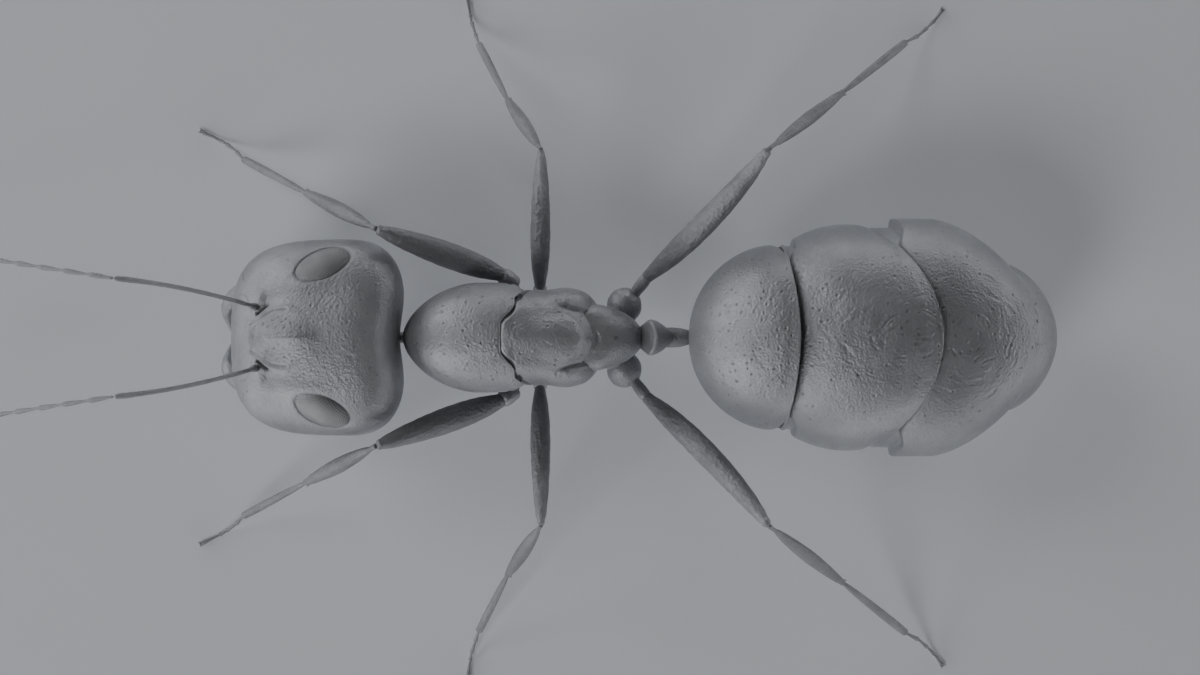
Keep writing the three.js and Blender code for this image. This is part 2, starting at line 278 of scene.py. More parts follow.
@dataclass
class Skin:
    """A closed surface on a grid of rows from one pole to the other.

    points has the shape (rows, sides, 3) in millimetres; all points of the first row are
    one pole, and all of the last row the other. local holds the coordinates that patterns
    are laid out in, and painted_shade how deep in a pit or groove each point lies, from 0 to 1;
    the finishes paint that depth as shade.
    """

    points: Floats
    local: Optional[Floats] = None
    painted_shade: Optional[Floats] = None

    def __post_init__(self) -> None:
        """Fills in the pattern coordinates and no painted shade yet."""
        if self.local is None:
            self.local = self.points.copy()
        if self.painted_shade is None:
            self.painted_shade = np.zeros(self.points.shape[:2])

    def normals(self) -> Floats:
        """Outward unit normals: along the rows crossed with round the rows.

        Returns:
            Array of the shape of points; a pole takes the mean of the row beside it.
        """
        around = np.roll(self.points, -1, axis=1) - np.roll(self.points, 1, axis=1)
        along = np.gradient(self.points, axis=0)
        normal = np.cross(along, around)
        normal[0] = normal[1].mean(axis=0)
        normal[-1] = normal[-2].mean(axis=0)
        return normal / np.maximum(np.linalg.norm(normal, axis=2, keepdims=True), 1e-12)

    def facing_up(self, low: float = 0.0, full: float = 0.4) -> Floats:
        """How far each point faces up: 0 where its normal's z is low, and 1 at full."""
        return smoothstep(low, full, self.normals()[..., 2])

    def raise_by(self, height: Floats, shade: float = 0.0) -> "Skin":
        """Moves each point out along its normal.

        Args:
            height: Millimetres, shape (rows, sides); negative is inwards.
            shade: How much of the sunk depth is painted as shade, per millimetre.

        Returns:
            This skin.
        """
        closed = [bool(np.ptp(self.points[row], axis=0).max() < 1e-9) for row in (0, -1)]
        self.points = self.points + self.normals() * height[..., None]
        for row, is_pole in zip((0, -1), closed):
            if is_pole:
                self.points[row] = self.points[row].mean(axis=0)
        # Sunk points are painted darker: painted shade in pits and grooves.
        self.painted_shade = np.clip(self.painted_shade + shade * np.maximum(0.0, -height), 0.0, 1.0)
        return self

    def mirrored(self) -> "Skin":
        """The mirror image on the other side of the body, still facing out."""
        flip = np.array([-1.0, 1.0, 1.0])
        return Skin(self.points[:, ::-1] * flip, self.local[:, ::-1], self.painted_shade[:, ::-1])

    def on_side(self, side: Side) -> "Skin":
        """This skin, made for the left side, on either side."""
        return self if side is Side.LEFT else self.mirrored()

    def with_rim(self, thickness: float, depth: float) -> "Skin":
        """Turns the last open row in to a rim and closes it behind.

        The rim runs in a half circle of the given thickness, then forwards inside the
        plate, and ends in a pole. The inside of the rim and the wall behind it are painted in
        full shade.

        Args:
            thickness: Thickness of the rim in millimetres.
            depth: How far inside the plate the closing wall lies.

        Returns:
            A new skin.
        """
        last = self.points[-1]
        inward = last.mean(axis=0) - last
        inward[:, 1] = 0.0
        inward /= np.maximum(np.linalg.norm(inward, axis=1, keepdims=True), 1e-9)
        back = np.array([0.0, 1.0, 0.0])
        half, lip_rows = 0.5 * thickness, 5
        rows = [
            last + inward * half * (1 - np.cos(turn)) + back * half * np.sin(turn)
            for turn in np.linspace(0.0, np.pi, lip_rows + 1)[1:]
        ]
        inner = rows[-1]
        rows.append(inner + inward * half - back * 0.5 * depth)
        rows.append(inner + inward * 2 * thickness - back * depth)
        rows.append(np.broadcast_to(rows[-1].mean(axis=0), last.shape))
        added = np.stack(rows)
        # Painted shade: the rows inside the rim are painted as fully shaded.
        is_inside = np.arange(len(added)) >= lip_rows - 1
        shade = np.repeat(is_inside.astype(float)[:, None], last.shape[0], axis=1)
        return Skin(
            np.concatenate([self.points, added]),
            np.concatenate([self.local, added]),
            np.concatenate([self.painted_shade, shade]),
        )

    def arrays(self) -> tuple[Floats, NDArray[np.int32], NDArray[np.int32], Floats]:
        """The surface as vertices, quads between the rows and triangles at the poles.

        Returns:
            Vertices, quads, triangles and the painted shade of each vertex.
        """
        rows, sides, _ = self.points.shape
        vertices = np.concatenate(
            [self.points[0, :1], self.points[1:-1].reshape(-1, 3), self.points[-1, :1]]
        )
        painted_shade = np.concatenate([self.painted_shade[0, :1], self.painted_shade[1:-1].ravel(), self.painted_shade[-1, :1]])
        here = 1 + np.arange((rows - 2) * sides, dtype=np.int32).reshape(rows - 2, sides)
        beside = np.roll(here, -1, axis=1)
        quads = np.stack([here[:-1], here[1:], beside[1:], beside[:-1]], axis=-1).reshape(-1, 4)
        first = np.stack([np.zeros_like(here[0]), here[0], beside[0]], axis=-1)
        end = np.full_like(here[0], len(vertices) - 1)
        last = np.stack([here[-1], end, beside[-1]], axis=-1)
        return vertices, quads, np.concatenate([first, last]), painted_shade


@dataclass(frozen=True)
class Plate:
    """A plate of the body: a loft along Y with superelliptic sections.

    At a share t of the length the section is |x/w|^q + |z/h|^q = 1, where w is the width
    profile, h the top or bottom profile and q the squareness. It lies at y = front +
    (rear - front) t about an axis that rises evenly from axis[0] to axis[1]. A plate with
    cut below 1 ends at that share in an open rim. Its flanks end bow in front of the middle:
    y falls by bow |across|^bow_power (t/cut)^2; each sweep moves them back by its first
    number where |across| lies between the other two and beyond. Under the rim of another
    plate it has neck times the width and height of that rim, its flanks start shoulder
    behind it, and it swells out from swell[0] to swell[1] behind it, on the flanks over
    flank_swell of that.
    """

    front: float
    rear: float
    axis: Pair
    width: Arc
    top: Arc
    bottom: Arc
    square: float
    cut: float = 1.0
    bow: float = 0.0
    bow_power: float = 1.0
    shoulder: float = 0.0
    sweeps: tuple[Point, ...] = ()
    neck: Pair = (0.955, 0.955)
    swell: Pair = (-0.08, 0.1)
    flank_swell: float = 0.4

    def along(self, y: Floats) -> Floats:
        """The share of the plate's whole length at each y."""
        return (y - self.front) / (self.rear - self.front)

    def flank(self, across: Floats) -> Floats:
        """How far each place across the section belongs to a flank, from 0 to 1."""
        return smoothstep(0.75, 0.97, np.abs(across))

    def rim_offset(self, across: Floats) -> Floats:
        """How far the rear rim lies behind its middle, for a place across from -1 to 1."""
        off = np.abs(across)
        swept_back = [amount * smoothstep(start, end, off) for amount, start, end in self.sweeps]
        return sum(swept_back) - self.bow * off**self.bow_power

    def rim_y(self, across: Floats) -> Floats:
        """Where the rear rim lies, for a place across the section from -1 to 1."""
        return mix(self.front, self.rear, self.cut) + self.rim_offset(across)

    def before_rim(self, skin: Skin) -> Floats:
        """How far each point of the plate's own skin lies in front of its rear rim."""
        return self.rim_y(np.abs(skin.local[..., 0]) / self.width.size) - skin.local[..., 1]

    def skin(
        self,
        rows: int,
        sides: int,
        crowd_top: float = 1.0,
        density: Callable[[Floats], Floats] = crowded_ends((2.5, 0.05), (1.5, 0.05)),
        under: Optional["Plate"] = None,
    ) -> Skin:
        """The plate's surface.

        Where the plate lies under the rim of the plate in front of it, it is drawn in to
        fit inside that rim, and it swells out behind the rim.

        Args:
            rows: Rows of points.
            sides: Points in a row.
            crowd_top: How much denser the points lie on top.
            density: Density of the rows along the plate.
            under: The plate whose rim covers this one's front.

        Returns:
            The skin; its last row is open where the plate has a rim.
        """
        share = spread(rows, density)[:, None]
        angle = section_angles(sides, crowd_top)[None, :]
        across = signed_power(np.cos(angle), 2 / self.square)
        upward = signed_power(np.sin(angle), 2 / self.square)
        along = share * self.cut
        y = mix(self.front, self.rear, along) + self.rim_offset(across) * share**2
        height = np.where(upward > 0, self.top.at(along), self.bottom.at(along))
        width = self.width.at(along)
        if under is not None:
            rim = np.array(under.cut)
            flank = self.flank(across)
            behind = y - under.rim_y(across) - self.shoulder * flank
            free = smoothstep(*self.swell, behind / mix(1.0, self.flank_swell, flank))
            limit = np.where(upward > 0, under.top.at(rim), under.bottom.at(rim))
            height = mix(np.minimum(height, self.neck[1] * limit), height, free)
            width = mix(np.minimum(width, self.neck[0] * under.width.at(rim)), width, free)
        middle = mix(*self.axis, along)
        points = np.stack([width * across, y, middle + height * upward], axis=-1)
        points[0] = points[0].mean(axis=0)
        if self.cut == 1.0:
            points[-1] = points[-1].mean(axis=0)
        return Skin(points)


def profile_at(knots: Sequence[Pair], share: Floats, fineness: int = 300) -> Floats:
    """The thickness at each share, on a smooth curve through knots of share and thickness."""
    curve = curve_through(knots, fineness)
    return np.interp(share, curve[:, 0], curve[:, 1])


def round_ends(share: Floats, start: float, end: float) -> Floats:
    """Quarter circles that close a limb: up from 0 over start and down to 0 over end.

    Args:
        share: Shares along a limb.
        start: Length of the first rounding, as a share.
        end: Length of the last rounding.

    Returns:
        Factors from 0 to 1.
    """
    first = np.clip((start - share) / start, 0.0, 1.0)
    last = np.clip((share - 1.0 + end) / end, 0.0, 1.0)
    return np.sqrt(1.0 - first**2) * np.sqrt(1.0 - last**2)


def swept(
    path: Floats, wide: Floats, tall: Floats, sides: int, reference: Point = (0.0, 0.0, 1.0)
) -> Skin:
    """An elliptic section carried along a path.

    Across is the path's direction crossed with reference, and up is across crossed with
    the direction. The section is across wide cos(a) + up tall sin(a).

    Args:
        path: Points of shape (rows, 3).
        wide: Half width at each row.
        tall: Half height at each row.
        sides: Points in a row.
        reference: The direction that is up on the limb.

    Returns:
        The skin, with local coordinates along and around the limb.
    """
    direction = np.gradient(path, axis=0)
    direction /= np.linalg.norm(direction, axis=1, keepdims=True)
    across = np.cross(direction, np.array(reference))
    across /= np.linalg.norm(across, axis=1, keepdims=True)
    up = np.cross(across, direction)
    angle = np.linspace(0.0, 2 * np.pi, sides, endpoint=False)[None, :]
    x = wide[:, None] * np.cos(angle)
    z = tall[:, None] * np.sin(angle)
    points = path[:, None] + across[:, None] * x[..., None] + up[:, None] * z[..., None]
    step = np.linalg.norm(np.diff(path, axis=0), axis=1)
    along = np.concatenate([[0.0], np.cumsum(step)])
    local = np.stack([x, np.broadcast_to(along[:, None], x.shape), z], axis=-1)
    return Skin(points, local)


def spike(start: Point, end: Point, radius: float, sides: int, bend: Point = (0.0, 0.0, 0.0)) -> Skin:
    """A thin pointed spine: a cone along the curve start + (end - start) t + 4 bend t (1 - t).

    Args:
        start: Its root.
        end: Its tip.
        radius: Radius at the root.
        sides: Points in a row.
        bend: How far its middle is pushed aside.

    Returns:
        The skin.
    """
    thick = radius * np.array([0.0, 0.9, 1.0, 0.85, 0.62, 0.35, 0.0])
    t = np.linspace(0.0, 1.0, len(thick))[:, None]
    path = mix(np.array(start), np.array(end), t) + 4 * np.array(bend) * t * (1 - t)
    askew = (0.13, 0.21, 0.97)
    return swept(path, thick, thick, sides, askew)


def egg(centre: Point, size: Point, rows: int, sides: int, turn: Euler = Euler()) -> Skin:
    """An ellipsoid with its poles on its own Y axis, turned about its centre.

    Args:
        centre: Its middle in millimetres.
        size: Its half sizes [x, y, z].
        rows: Rows of points.
        sides: Points in a row.
        turn: Its turn.

    Returns:
        The skin, with local coordinates in the egg's own axes.
    """
    slope = np.linspace(0.0, np.pi, rows)[:, None]
    angle = np.linspace(0.0, 2 * np.pi, sides, endpoint=False)[None, :]
    local = np.stack(
        [
            size[0] * np.sin(slope) * np.cos(angle),
            -size[1] * np.cos(slope) * np.ones_like(angle),
            size[2] * np.sin(slope) * np.sin(angle),
        ],
        axis=-1,
    )
    matrix = np.array(turn.to_matrix())
    return Skin(local @ matrix.T + np.array(centre), local)


# ------------------------------------------------------------------ reliefs


@dataclass(frozen=True)
class Pits:
    """Small round punctures, each with a low wall round it, and some low grains.

    A pit is -depth bell(d/r), with a wall of height wall times depth at wall_at times r. A
    grain is a pit turned outwards, at grain_height of its depth; grains is their share.
    """

    count: int
    seed: int
    radius: float = 0.04
    depth: float = 0.02
    apart: float = 0.17
    grains: float = 0.35
    grain_height: float = 0.7
    wall: float = 0.25
    wall_at: float = 1.7
    wall_width: float = 0.6

    def on(self, skin: Skin, weight: Floats) -> Skin:
        """Sinks pits into a skin at seeded random places.

        Args:
            skin: The skin to change.
            weight: How likely a pit is at each point, shape (rows, sides).

        Returns:
            The same skin.
        """
        random = np.random.default_rng(self.seed)
        places = skin.points.reshape(-1, 3)
        patch = np.cross(np.gradient(skin.points, axis=0), np.gradient(skin.points, axis=1))
        chance = (weight * np.linalg.norm(patch, axis=2)).ravel()
        picked = places[random.choice(len(places), size=self.count * 4, p=chance / chance.sum())]
        gap = np.linalg.norm(picked[:, None] - picked[None, :], axis=2)
        crowded = (np.tril(gap < self.apart, -1)).any(axis=1)
        return self.at(skin, picked[~crowded][: self.count])

    def at(self, skin: Skin, centres: Floats) -> Skin:
        """Sinks pits at given places, with seeded random sizes.

        Args:
            skin: The skin to change.
            centres: Their middles, shape (n, 3).

        Returns:
            The same skin.
        """
        random = np.random.default_rng(self.seed + 1)
        places = skin.points.reshape(-1, 3)
        height = np.zeros(len(places))
        sizes = self.radius * random.uniform(0.75, 1.25, len(centres))
        signs = np.where(random.random(len(centres)) < self.grains, -self.grain_height, 1.0)
        for centre, size, sign in zip(centres, sizes, signs):
            near = np.flatnonzero(np.abs(places[:, 1] - centre[1]) < 4 * size)
            away = np.linalg.norm(places[near] - centre, axis=1) / size
            ring = self.wall * bell((away - self.wall_at) / self.wall_width)
            height[near] += sign * self.depth * (ring - bell(away))
        # The sunk depth is painted as shade, so the pits are painted darker.
        return skin.raise_by(height.reshape(skin.points.shape[:2]), shade=14.0)


def folded(place: Floats, level: float, ripples: Sequence[tuple[float, Ripples]]) -> Floats:
    """Ripples folded to sharp crests: the sum of share (level - |ripple|) at each place."""
    return sum(share * (level - np.abs(ripple.at(place))) for share, ripple in ripples)


def leathery(
    skin: Skin, amount: Floats | float, seed: int, stretch: Point = (1.6, 1.0, 1.6), size: float = 1.0
) -> Skin:
    """Wrinkles a skin as leather: creases along the zero lines of random waves.

    Two sizes of ripple are folded so that their crests are sharp, and a fine even grain
    is added.

    Args:
        skin: The skin to change.
        amount: Height of the wrinkles in millimetres, a number or one for each point.
        seed: Seed of the waves.
        stretch: Length of the wrinkles on each axis against their spacing.
        size: Scales the spacing of the wrinkles.

    Returns:
        The same skin.
    """
    coarse, fine = Ripples(0.55 * size, seed, stretch), Ripples(0.24 * size, seed + 1, stretch)
    fold = folded(skin.local, 0.6, [(0.55, coarse), (0.35, fine)])
    grain = Ripples(0.11 * size, seed + 2).at(skin.local)
    return skin.raise_by(amount * (fold + 0.1 * grain), shade=6.0)


@dataclass(frozen=True)
class Whorl:
    """Fine wrinkles that run round a centre on the map of the body seen from above.

    They lie along ellipses that are stretch times longer along Y than across, and fade out
    at reach and, within eye, round the centre itself.
    """

    centre: Pair
    reach: float
    height: float
    seed: int
    stretch: float = 1.0
    eye: float = 0.35
    patch: float = 0.8

    def on(self, skin: Skin, weight: Floats) -> Skin:
        """Raises the wrinkles on a skin.

        They are folded random waves of the distance r from the centre and of the direction
        from it, so they are short across r and long round the centre.

        Args:
            skin: The skin to change.
            weight: Where the wrinkles lie, shape (rows, sides).

        Returns:
            The same skin.
        """
        x = skin.local[..., 0] - self.centre[0]
        y = (skin.local[..., 1] - self.centre[1]) / self.stretch
        away = np.hypot(x, y) + 1e-6
        wander = 0.05 * Ripples(self.patch, self.seed).at(skin.local)
        place = np.stack([away + wander, 0.2 * x / away, 0.2 * y / away], axis=-1)
        coarse, fine = Ripples(0.18, self.seed + 1, waves=28), Ripples(0.11, self.seed + 2, waves=28)
        fold = folded(place, 0.7, [(0.6, coarse), (0.4, fine)])
        patches = smoothstep(-0.6, 1.0, Ripples(self.patch, self.seed + 3).at(skin.local))
        fade = weight * patches * bell(away / self.reach) * smoothstep(0.0, self.eye, away)
        return skin.raise_by(self.height * fold * fade, shade=5.0)


# ------------------------------------------------------------------ finishes


@dataclass
class Graph:
    """The nodes of a material or of the room, made and joined in one call each."""

    tree: bpy.types.NodeTree

    def add(
        self, kind: str, inputs: Optional[Inputs] = None, output: str | int = 0, **settings: str
    ) -> bpy.types.NodeSocket:
        """Makes a node.

        Args:
            kind: The shader node's kind.
            inputs: For each input a number, a colour, a vector or the socket to join it to.
            output: The output to return.
            settings: The node's own settings.

        Returns:
            The output socket.
        """
        node = self.tree.nodes.new(f"ShaderNode{kind}")
        for setting, value in settings.items():
            setattr(node, setting, value)
        for name, value in (inputs or {}).items():
            self.feed(node.inputs[name], value)
        return node.outputs[output]

    def feed(self, socket: bpy.types.NodeSocket, value: object) -> None:
        """Joins a socket to an input, or writes a value into it."""
        if isinstance(value, bpy.types.NodeSocket):
            self.tree.links.new(value, socket)
        else:
            socket.default_value = value

    def ramp(self, value: bpy.types.NodeSocket, start: Pair, end: Pair) -> bpy.types.NodeSocket:
        """A straight ramp: it maps start[0]..start[1] to end[0]..end[1] and stops there."""
        limits = {"From Min": start[0], "From Max": start[1], "To Min": end[0], "To Max": end[1]}
        return self.add("MapRange", {"Value": value, **limits}, "Result")


@dataclass(frozen=True)
class Cuticle:
    """A satin shell: mottled colour, painted shade in pits, grooves and under rims, uneven gloss and a very
    fine grain.

    mottle and grain are patches and grains per millimetre, gloss is the range of the
    roughness, and grain_height is in millimetres.
    """

    name: str
    dark: Point = (0.25, 0.257, 0.274)
    light: Point = (0.32, 0.328, 0.349)
    # pit is the colour of full painted shade in pits, grooves and under rims.
    pit: Point = (0.045, 0.045, 0.05)
    mottle: float = 0.9
    gloss: Pair = (0.42, 0.52)
    gloss_patches: float = 3.1
    grain: float = 13.0
    grain_height: float = 0.016
    grain_strength: float = 0.8
    metal: float = 0.5

    def build(self) -> bpy.types.Material:
        """Makes the material, or finds the one that was made before.

        Object coordinates are turned into millimetres. A soft noise blends the dark and
        the light colour, the painted shade attribute darkens it towards the pit colour as painted
        shade in pits, grooves and under rims, a second noise varies the roughness, and fine cells
        with a noise make the grain.

        Returns:
            The material.
        """
        made = bpy.data.materials.get(self.name)
        if made is not None:
            return made
        made = bpy.data.materials.new(self.name)
        made.use_nodes = True
        graph = Graph(made.node_tree)
        place = graph.add("TexCoord", output="Object")
        scaled = graph.add("Mapping", {"Vector": place, "Scale": (1 / MM,) * 3})

        def noise(scale: float, detail: float) -> bpy.types.NodeSocket:
            """A noise in millimetres."""
            return graph.add("TexNoise", {"Vector": scaled, "Scale": scale, "Detail": detail}, "Fac")

        def blend(share: bpy.types.NodeSocket, first: object, second: object) -> bpy.types.NodeSocket:
            """A colour between two colours."""
            colours = {"Factor": share, "A": first, "B": second}
            return graph.add("Mix", colours, "Result", data_type="RGBA")

        patches = graph.ramp(noise(self.mottle, 5.0), (0.32, 0.68), (0.0, 1.0))
        mottled = blend(patches, (*self.dark, 1.0), (*self.light, 1.0))
        # Painted shade: darkens the colour towards the pit colour in pits, grooves and under rims.
        painted_shade = graph.add("Attribute", output="Fac", attribute_name="painted_shade")
        cells = graph.add("TexVoronoi", {"Vector": scaled, "Scale": self.grain}, "Distance")
        grain = graph.add("Math", {0: cells, 1: noise(self.grain * 0.4, 4.0)}, operation="ADD")
        relief = {"Strength": self.grain_strength, "Distance": self.grain_height * MM, "Height": grain}
        looks = {
            "Metallic": self.metal,
            "Base Color": blend(painted_shade, mottled, (*self.pit, 1.0)),
            "Roughness": graph.ramp(noise(self.gloss_patches, 3.0), (0.3, 0.7), self.gloss),
            "Normal": graph.add("Bump", relief),
        }
        for name, value in looks.items():
            graph.feed(made.node_tree.nodes["Principled BSDF"].inputs[name], value)
        return made


SHELL = Cuticle("shell_cuticle")
GASTER_SHELL = Cuticle("gaster_cuticle", mottle=0.6)
LIMB = Cuticle(
    "limb_cuticle", dark=(0.225, 0.23, 0.244), light=(0.28, 0.287, 0.304), gloss=(0.56, 0.68), mottle=0.7,
    grain=9.0, grain_height=0.03, metal=0.7,
)
# The eye's pit colour is the painted shade in the gaps between its facets.
EYE = Cuticle(
    "eye_facets", dark=(0.24, 0.246, 0.258), light=(0.29, 0.298, 0.31), pit=(0.08, 0.082, 0.09),
    gloss=(0.48, 0.55), grain=60.0, grain_height=0.001,
)
MEMBRANE = Cuticle(
    "joint_membrane", dark=(0.42, 0.43, 0.44), light=(0.55, 0.56, 0.57), gloss=(0.5, 0.62), grain=22.0
)


@dataclass(frozen=True)
class Placing:
    """Where the ant's own sizes lie in the row frame: a shift along Y in millimetres."""

    shift: float

    def metres(self, points: Floats) -> Floats:
        """Points in metres in the row frame."""
        return (points + np.array([0.0, self.shift, 0.0])) * MM

    def piece(
        self,
        name: str,
        skins: Sequence[Skin],
        finishes: Sequence[Cuticle],
        slot: Slot,
        replaced: Sequence[str],
    ) -> bpy.types.Object:
        """Makes one visible piece of closed skins, and tells the frame about it.

        Args:
            name: The piece's name.
            skins: Its closed surfaces.
            finishes: A finish for each skin.
            slot: The record's material slot; not used.
            replaced: The CAD nodes that it stands for.

        Returns:
            The object.
        """
        kinds = list(dict.fromkeys(finishes))
        vertices, corners, counts, painted_shades, slots, base = [], [], [], [], [], 0
        for skin, finish in zip(skins, finishes):
            points, quads, triangles, painted_shade = skin.arrays()
            vertices.append(self.metres(points))
            painted_shades.append(painted_shade)
            corners.extend([(quads + base).ravel(), (triangles + base).ravel()])
            counts.append(np.concatenate([np.full(len(quads), 4), np.full(len(triangles), 3)]))
            slots.append(np.full(len(quads) + len(triangles), kinds.index(finish)))
            base += len(points)
        mesh = bpy.data.meshes.new(name)
        loops = np.concatenate(corners).astype(np.int32)
        count = np.concatenate(counts).astype(np.int32)
        mesh.vertices.add(base)
        mesh.vertices.foreach_set("co", np.concatenate(vertices).astype(np.float32).ravel())
        mesh.loops.add(len(loops))
        mesh.loops.foreach_set("vertex_index", loops)
        mesh.polygons.add(len(count))
        mesh.polygons.foreach_set("loop_start", (np.cumsum(count) - count).astype(np.int32))
        mesh.polygons.foreach_set("material_index", np.concatenate(slots).astype(np.int32))
        mesh.update(calc_edges=True)
        mesh.shade_smooth()
        # Each vertex's painted shade, which the finishes paint as darker pits, grooves and rims.
        attribute = mesh.attributes.new("painted_shade", "FLOAT", "POINT")
        attribute.data.foreach_set("value", np.concatenate(painted_shades).astype(np.float32))
        for finish in kinds:
            mesh.materials.append(finish.build())
        piece = bpy.data.objects.new(name, mesh)
        bpy.context.collection.objects.link(piece)
        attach(piece, "root")
        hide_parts(*replaced)
        LOG.info("%s: %d triangles", name, int((count - 2).sum()))
        return piece


# ------------------------------------------------------------------ the head


@dataclass
class Head:
    """The head capsule: smooth clypeus, frontal lips, antenna pits and a pitted crown.

    Places are millimetres on the map of the head seen from above, where x counts from the
    midline. A span names four places: the start, where the form is full, where it starts
    to fade, and its end. Depths and heights come before half widths.
    """

    plate: Plate = Plate(
        front=-12.42, rear=-6.4, axis=(4.35, 5.25), width=Arc(3.27, 0.63, 3.2, 3.0),
        top=Arc(1.95, 0.64, 2.1, 2.6), bottom=Arc(1.8, 0.58, 2.6, 2.8), square=2.35,
    )
    rows: int = 215
    sides: int = 400
    occiput: Pair = (0.27, 1.25)
    occiput_start: float = 0.45
    face: Mound = Mound(0.1, (0.0, -10.4), (0.8, 1.0))
    brow: Mound = Mound(0.06, (1.75, -9.6), (0.3, 0.8))
    keel: Pair = (0.2, 0.24)
    keel_span: Span = (-11.3, -10.8, -10.1, -8.9)
    clypeus: Pair = (0.07, 0.55)
    clypeus_span: Span = (-12.4, -12.0, -11.55, -11.25)
    antenna_pit: Pair = (0.1, 0.24)
    antenna_pit_x: float = 1.26
    antenna_pit_span: tuple[float, float, float] = (-11.22, -10.94, 0.26)
    lips_end: Pair = (-9.5, -10.3)
    lips: tuple[Crease, ...] = (
        Crease(
            0.05, 0.12,
            ((0.52, -11.42), (0.76, -11.06), (0.92, -10.8), (1.05, -10.3), (0.93, -9.89), (0.72, -9.6)),
        ),
        Crease(-0.06, 0.05, ((0.43, -11.45), (0.66, -11.09), (0.82, -10.82), (0.93, -10.49), (0.94, -10.2))),
    )
    grooves: tuple[Crease, ...] = (
        Crease(-0.02, 0.04, ((1.43, -11.96), (1.37, -11.74), (1.21, -11.63), (1.06, -11.52), (0.8, -11.45))),
        Crease(-0.13, 0.06, ((0.79, -11.22), (0.93, -11.06), (1.04, -10.92))),
        Crease(-0.03, 0.035, ((2.42, -11.85), (2.3, -11.95), (2.2, -12.02))),
        Crease(-0.03, 0.035, ((2.14, -11.92), (2.0, -11.9), (1.87, -11.85))),
    )
    eye_groove: Pair = (0.05, 0.05)
    throat_seam: Pair = (0.05, 0.05)
    throat_start: Pair = (-11.6, -11.2)
    smooth_y: Pair = (-11.35, -11.6)
    smooth_x: Pair = (1.6, 1.2)
    leather: Pair = (0.003, 0.001)
    crown_width: float = 1.9
    crown_span: Span = (-9.9, -9.2, -7.6, -6.9)
    crown_whorl: Whorl = Whorl((0.0, -7.7), 2.0, 0.009, 14)
    crown_pits: Pits = Pits(130, 21, 0.038, 0.022, grains=0.6)
    face_pit: Pits = Pits(24, 22, 0.036, 0.03, grains=0.0)
    face_pits: tuple[Pair, ...] = (
        (0.66, -10.48), (0.57, -10.66), (0.51, -10.32), (0.51, -10.02), (0.41, -10.82), (0.33, -10.54),
        (0.33, -10.21), (0.36, -9.71), (0.2, -10.37), (0.62, -10.2), (0.19, -9.95), (0.47, -11.02),
    )
    right_pits_shift: Pair = (0.03, 0.05)

    def capsule(self) -> Skin:
        """The capsule with its relief, laid out on the map of the head seen from above.

        Returns:
            The skin.
        """
        skin = self.plate.skin(self.rows, self.sides, 1.6, crowded_ends((2.2, 0.16), (1.0, 0.05)))
        depth, half = self.occiput
        back = smoothstep(self.occiput_start, 1.0, self.plate.along(skin.points[..., 1]))
        skin.points[..., 1] -= depth * bell(skin.points[..., 0] / half) * back
        x, y = np.abs(skin.local[..., 0]), skin.local[..., 1]
        top = skin.facing_up(0.05, 0.35)
        throat = skin.facing_up(-0.1, -0.4)
        skin.raise_by(top * self.swellings(x, y))
        out = Eye().out_from_middle(np.stack([x, y, skin.local[..., 2]], axis=-1))
        depth, half = self.eye_groove
        skin.raise_by(-depth * bell((out - 1.04) / half) * top, shade=6.0)
        skin.raise_by(top * self.lines(x, y), shade=9.0)
        depth, half = self.throat_seam
        skin.raise_by(-depth * throat * bell(x / half) * smoothstep(*self.throat_start, y), shade=8.0)
        return self.texture(skin, x, y, top)

    def swellings(self, x: Floats, y: Floats) -> Floats:
        """The broad forms: the raised face, its keel, the clypeus and the antenna pits.

        The keel falls off as exp(-x/w) on either side, and a pit as exp(-d/w) towards its
        rear end.

        Args:
            x: Distance from the midline.
            y: Place along the head.

        Returns:
            Heights in millimetres.
        """
        keel = self.keel[0] * np.exp(-x / self.keel[1]) * between(y, *self.keel_span)
        clypeus = self.clypeus[0] * bell(x / self.clypeus[1]) * between(y, *self.clypeus_span)
        start, full, fade = self.antenna_pit_span
        pit = smoothstep(start, full, y) * np.exp(-np.maximum(0.0, y - full) / fade)
        depth, half = self.antenna_pit
        pit = depth * pit * bell((x - self.antenna_pit_x) / half)
        return self.face.relief(x, y) + keel + clypeus + self.brow.relief(x, y) - pit

    def lines(self, x: Floats, y: Floats) -> Floats:
        """The narrow forms: frontal lips, their grooves, the clypeus edge and the sockets.

        Args:
            x: Distance from the midline.
            y: Place along the head.

        Returns:
            Heights in millimetres.
        """
        lips = smoothstep(*self.lips_end, y) * sum(line.relief(x, y) for line in self.lips)
        return lips + sum(line.relief(x, y) for line in self.grooves)

    def texture(self, skin: Skin, x: Floats, y: Floats, top: Floats) -> Skin:
        """Adds the leathery grain and the pits: random ones on the crown, placed ones on the face.

        Args:
            skin: The capsule.
            x: Distance from the midline.
            y: Place along the head.
            top: How far each point faces up.

        Returns:
            The same skin.
        """
        smooth = smoothstep(*self.smooth_y, y) * smoothstep(*self.smooth_x, x)
        crown = between(y, *self.crown_span)
        leathery(skin, (self.leather[0] + self.leather[1] * crown) * (1 - 0.8 * smooth), 11, size=0.8)
        self.crown_whorl.on(skin, top)
        self.crown_pits.on(skin, top * (1 - smooth) * (0.06 + crown * bell(x / self.crown_width)))
        left = np.array(self.face_pits)
        spots = np.concatenate([left, left * np.array([-1.0, 1.0]) + np.array(self.right_pits_shift)])
        map_x, map_y = skin.local[..., 0], skin.local[..., 1]
        below = 9.0 * (top < 0.5)  # keeps the face pits off the underside
        nearest = [np.argmin(np.hypot(map_x - spot[0], map_y - spot[1]) + below) for spot in spots]
        centres = skin.points.reshape(-1, 3)[nearest]
        return self.face_pit.at(skin, centres)

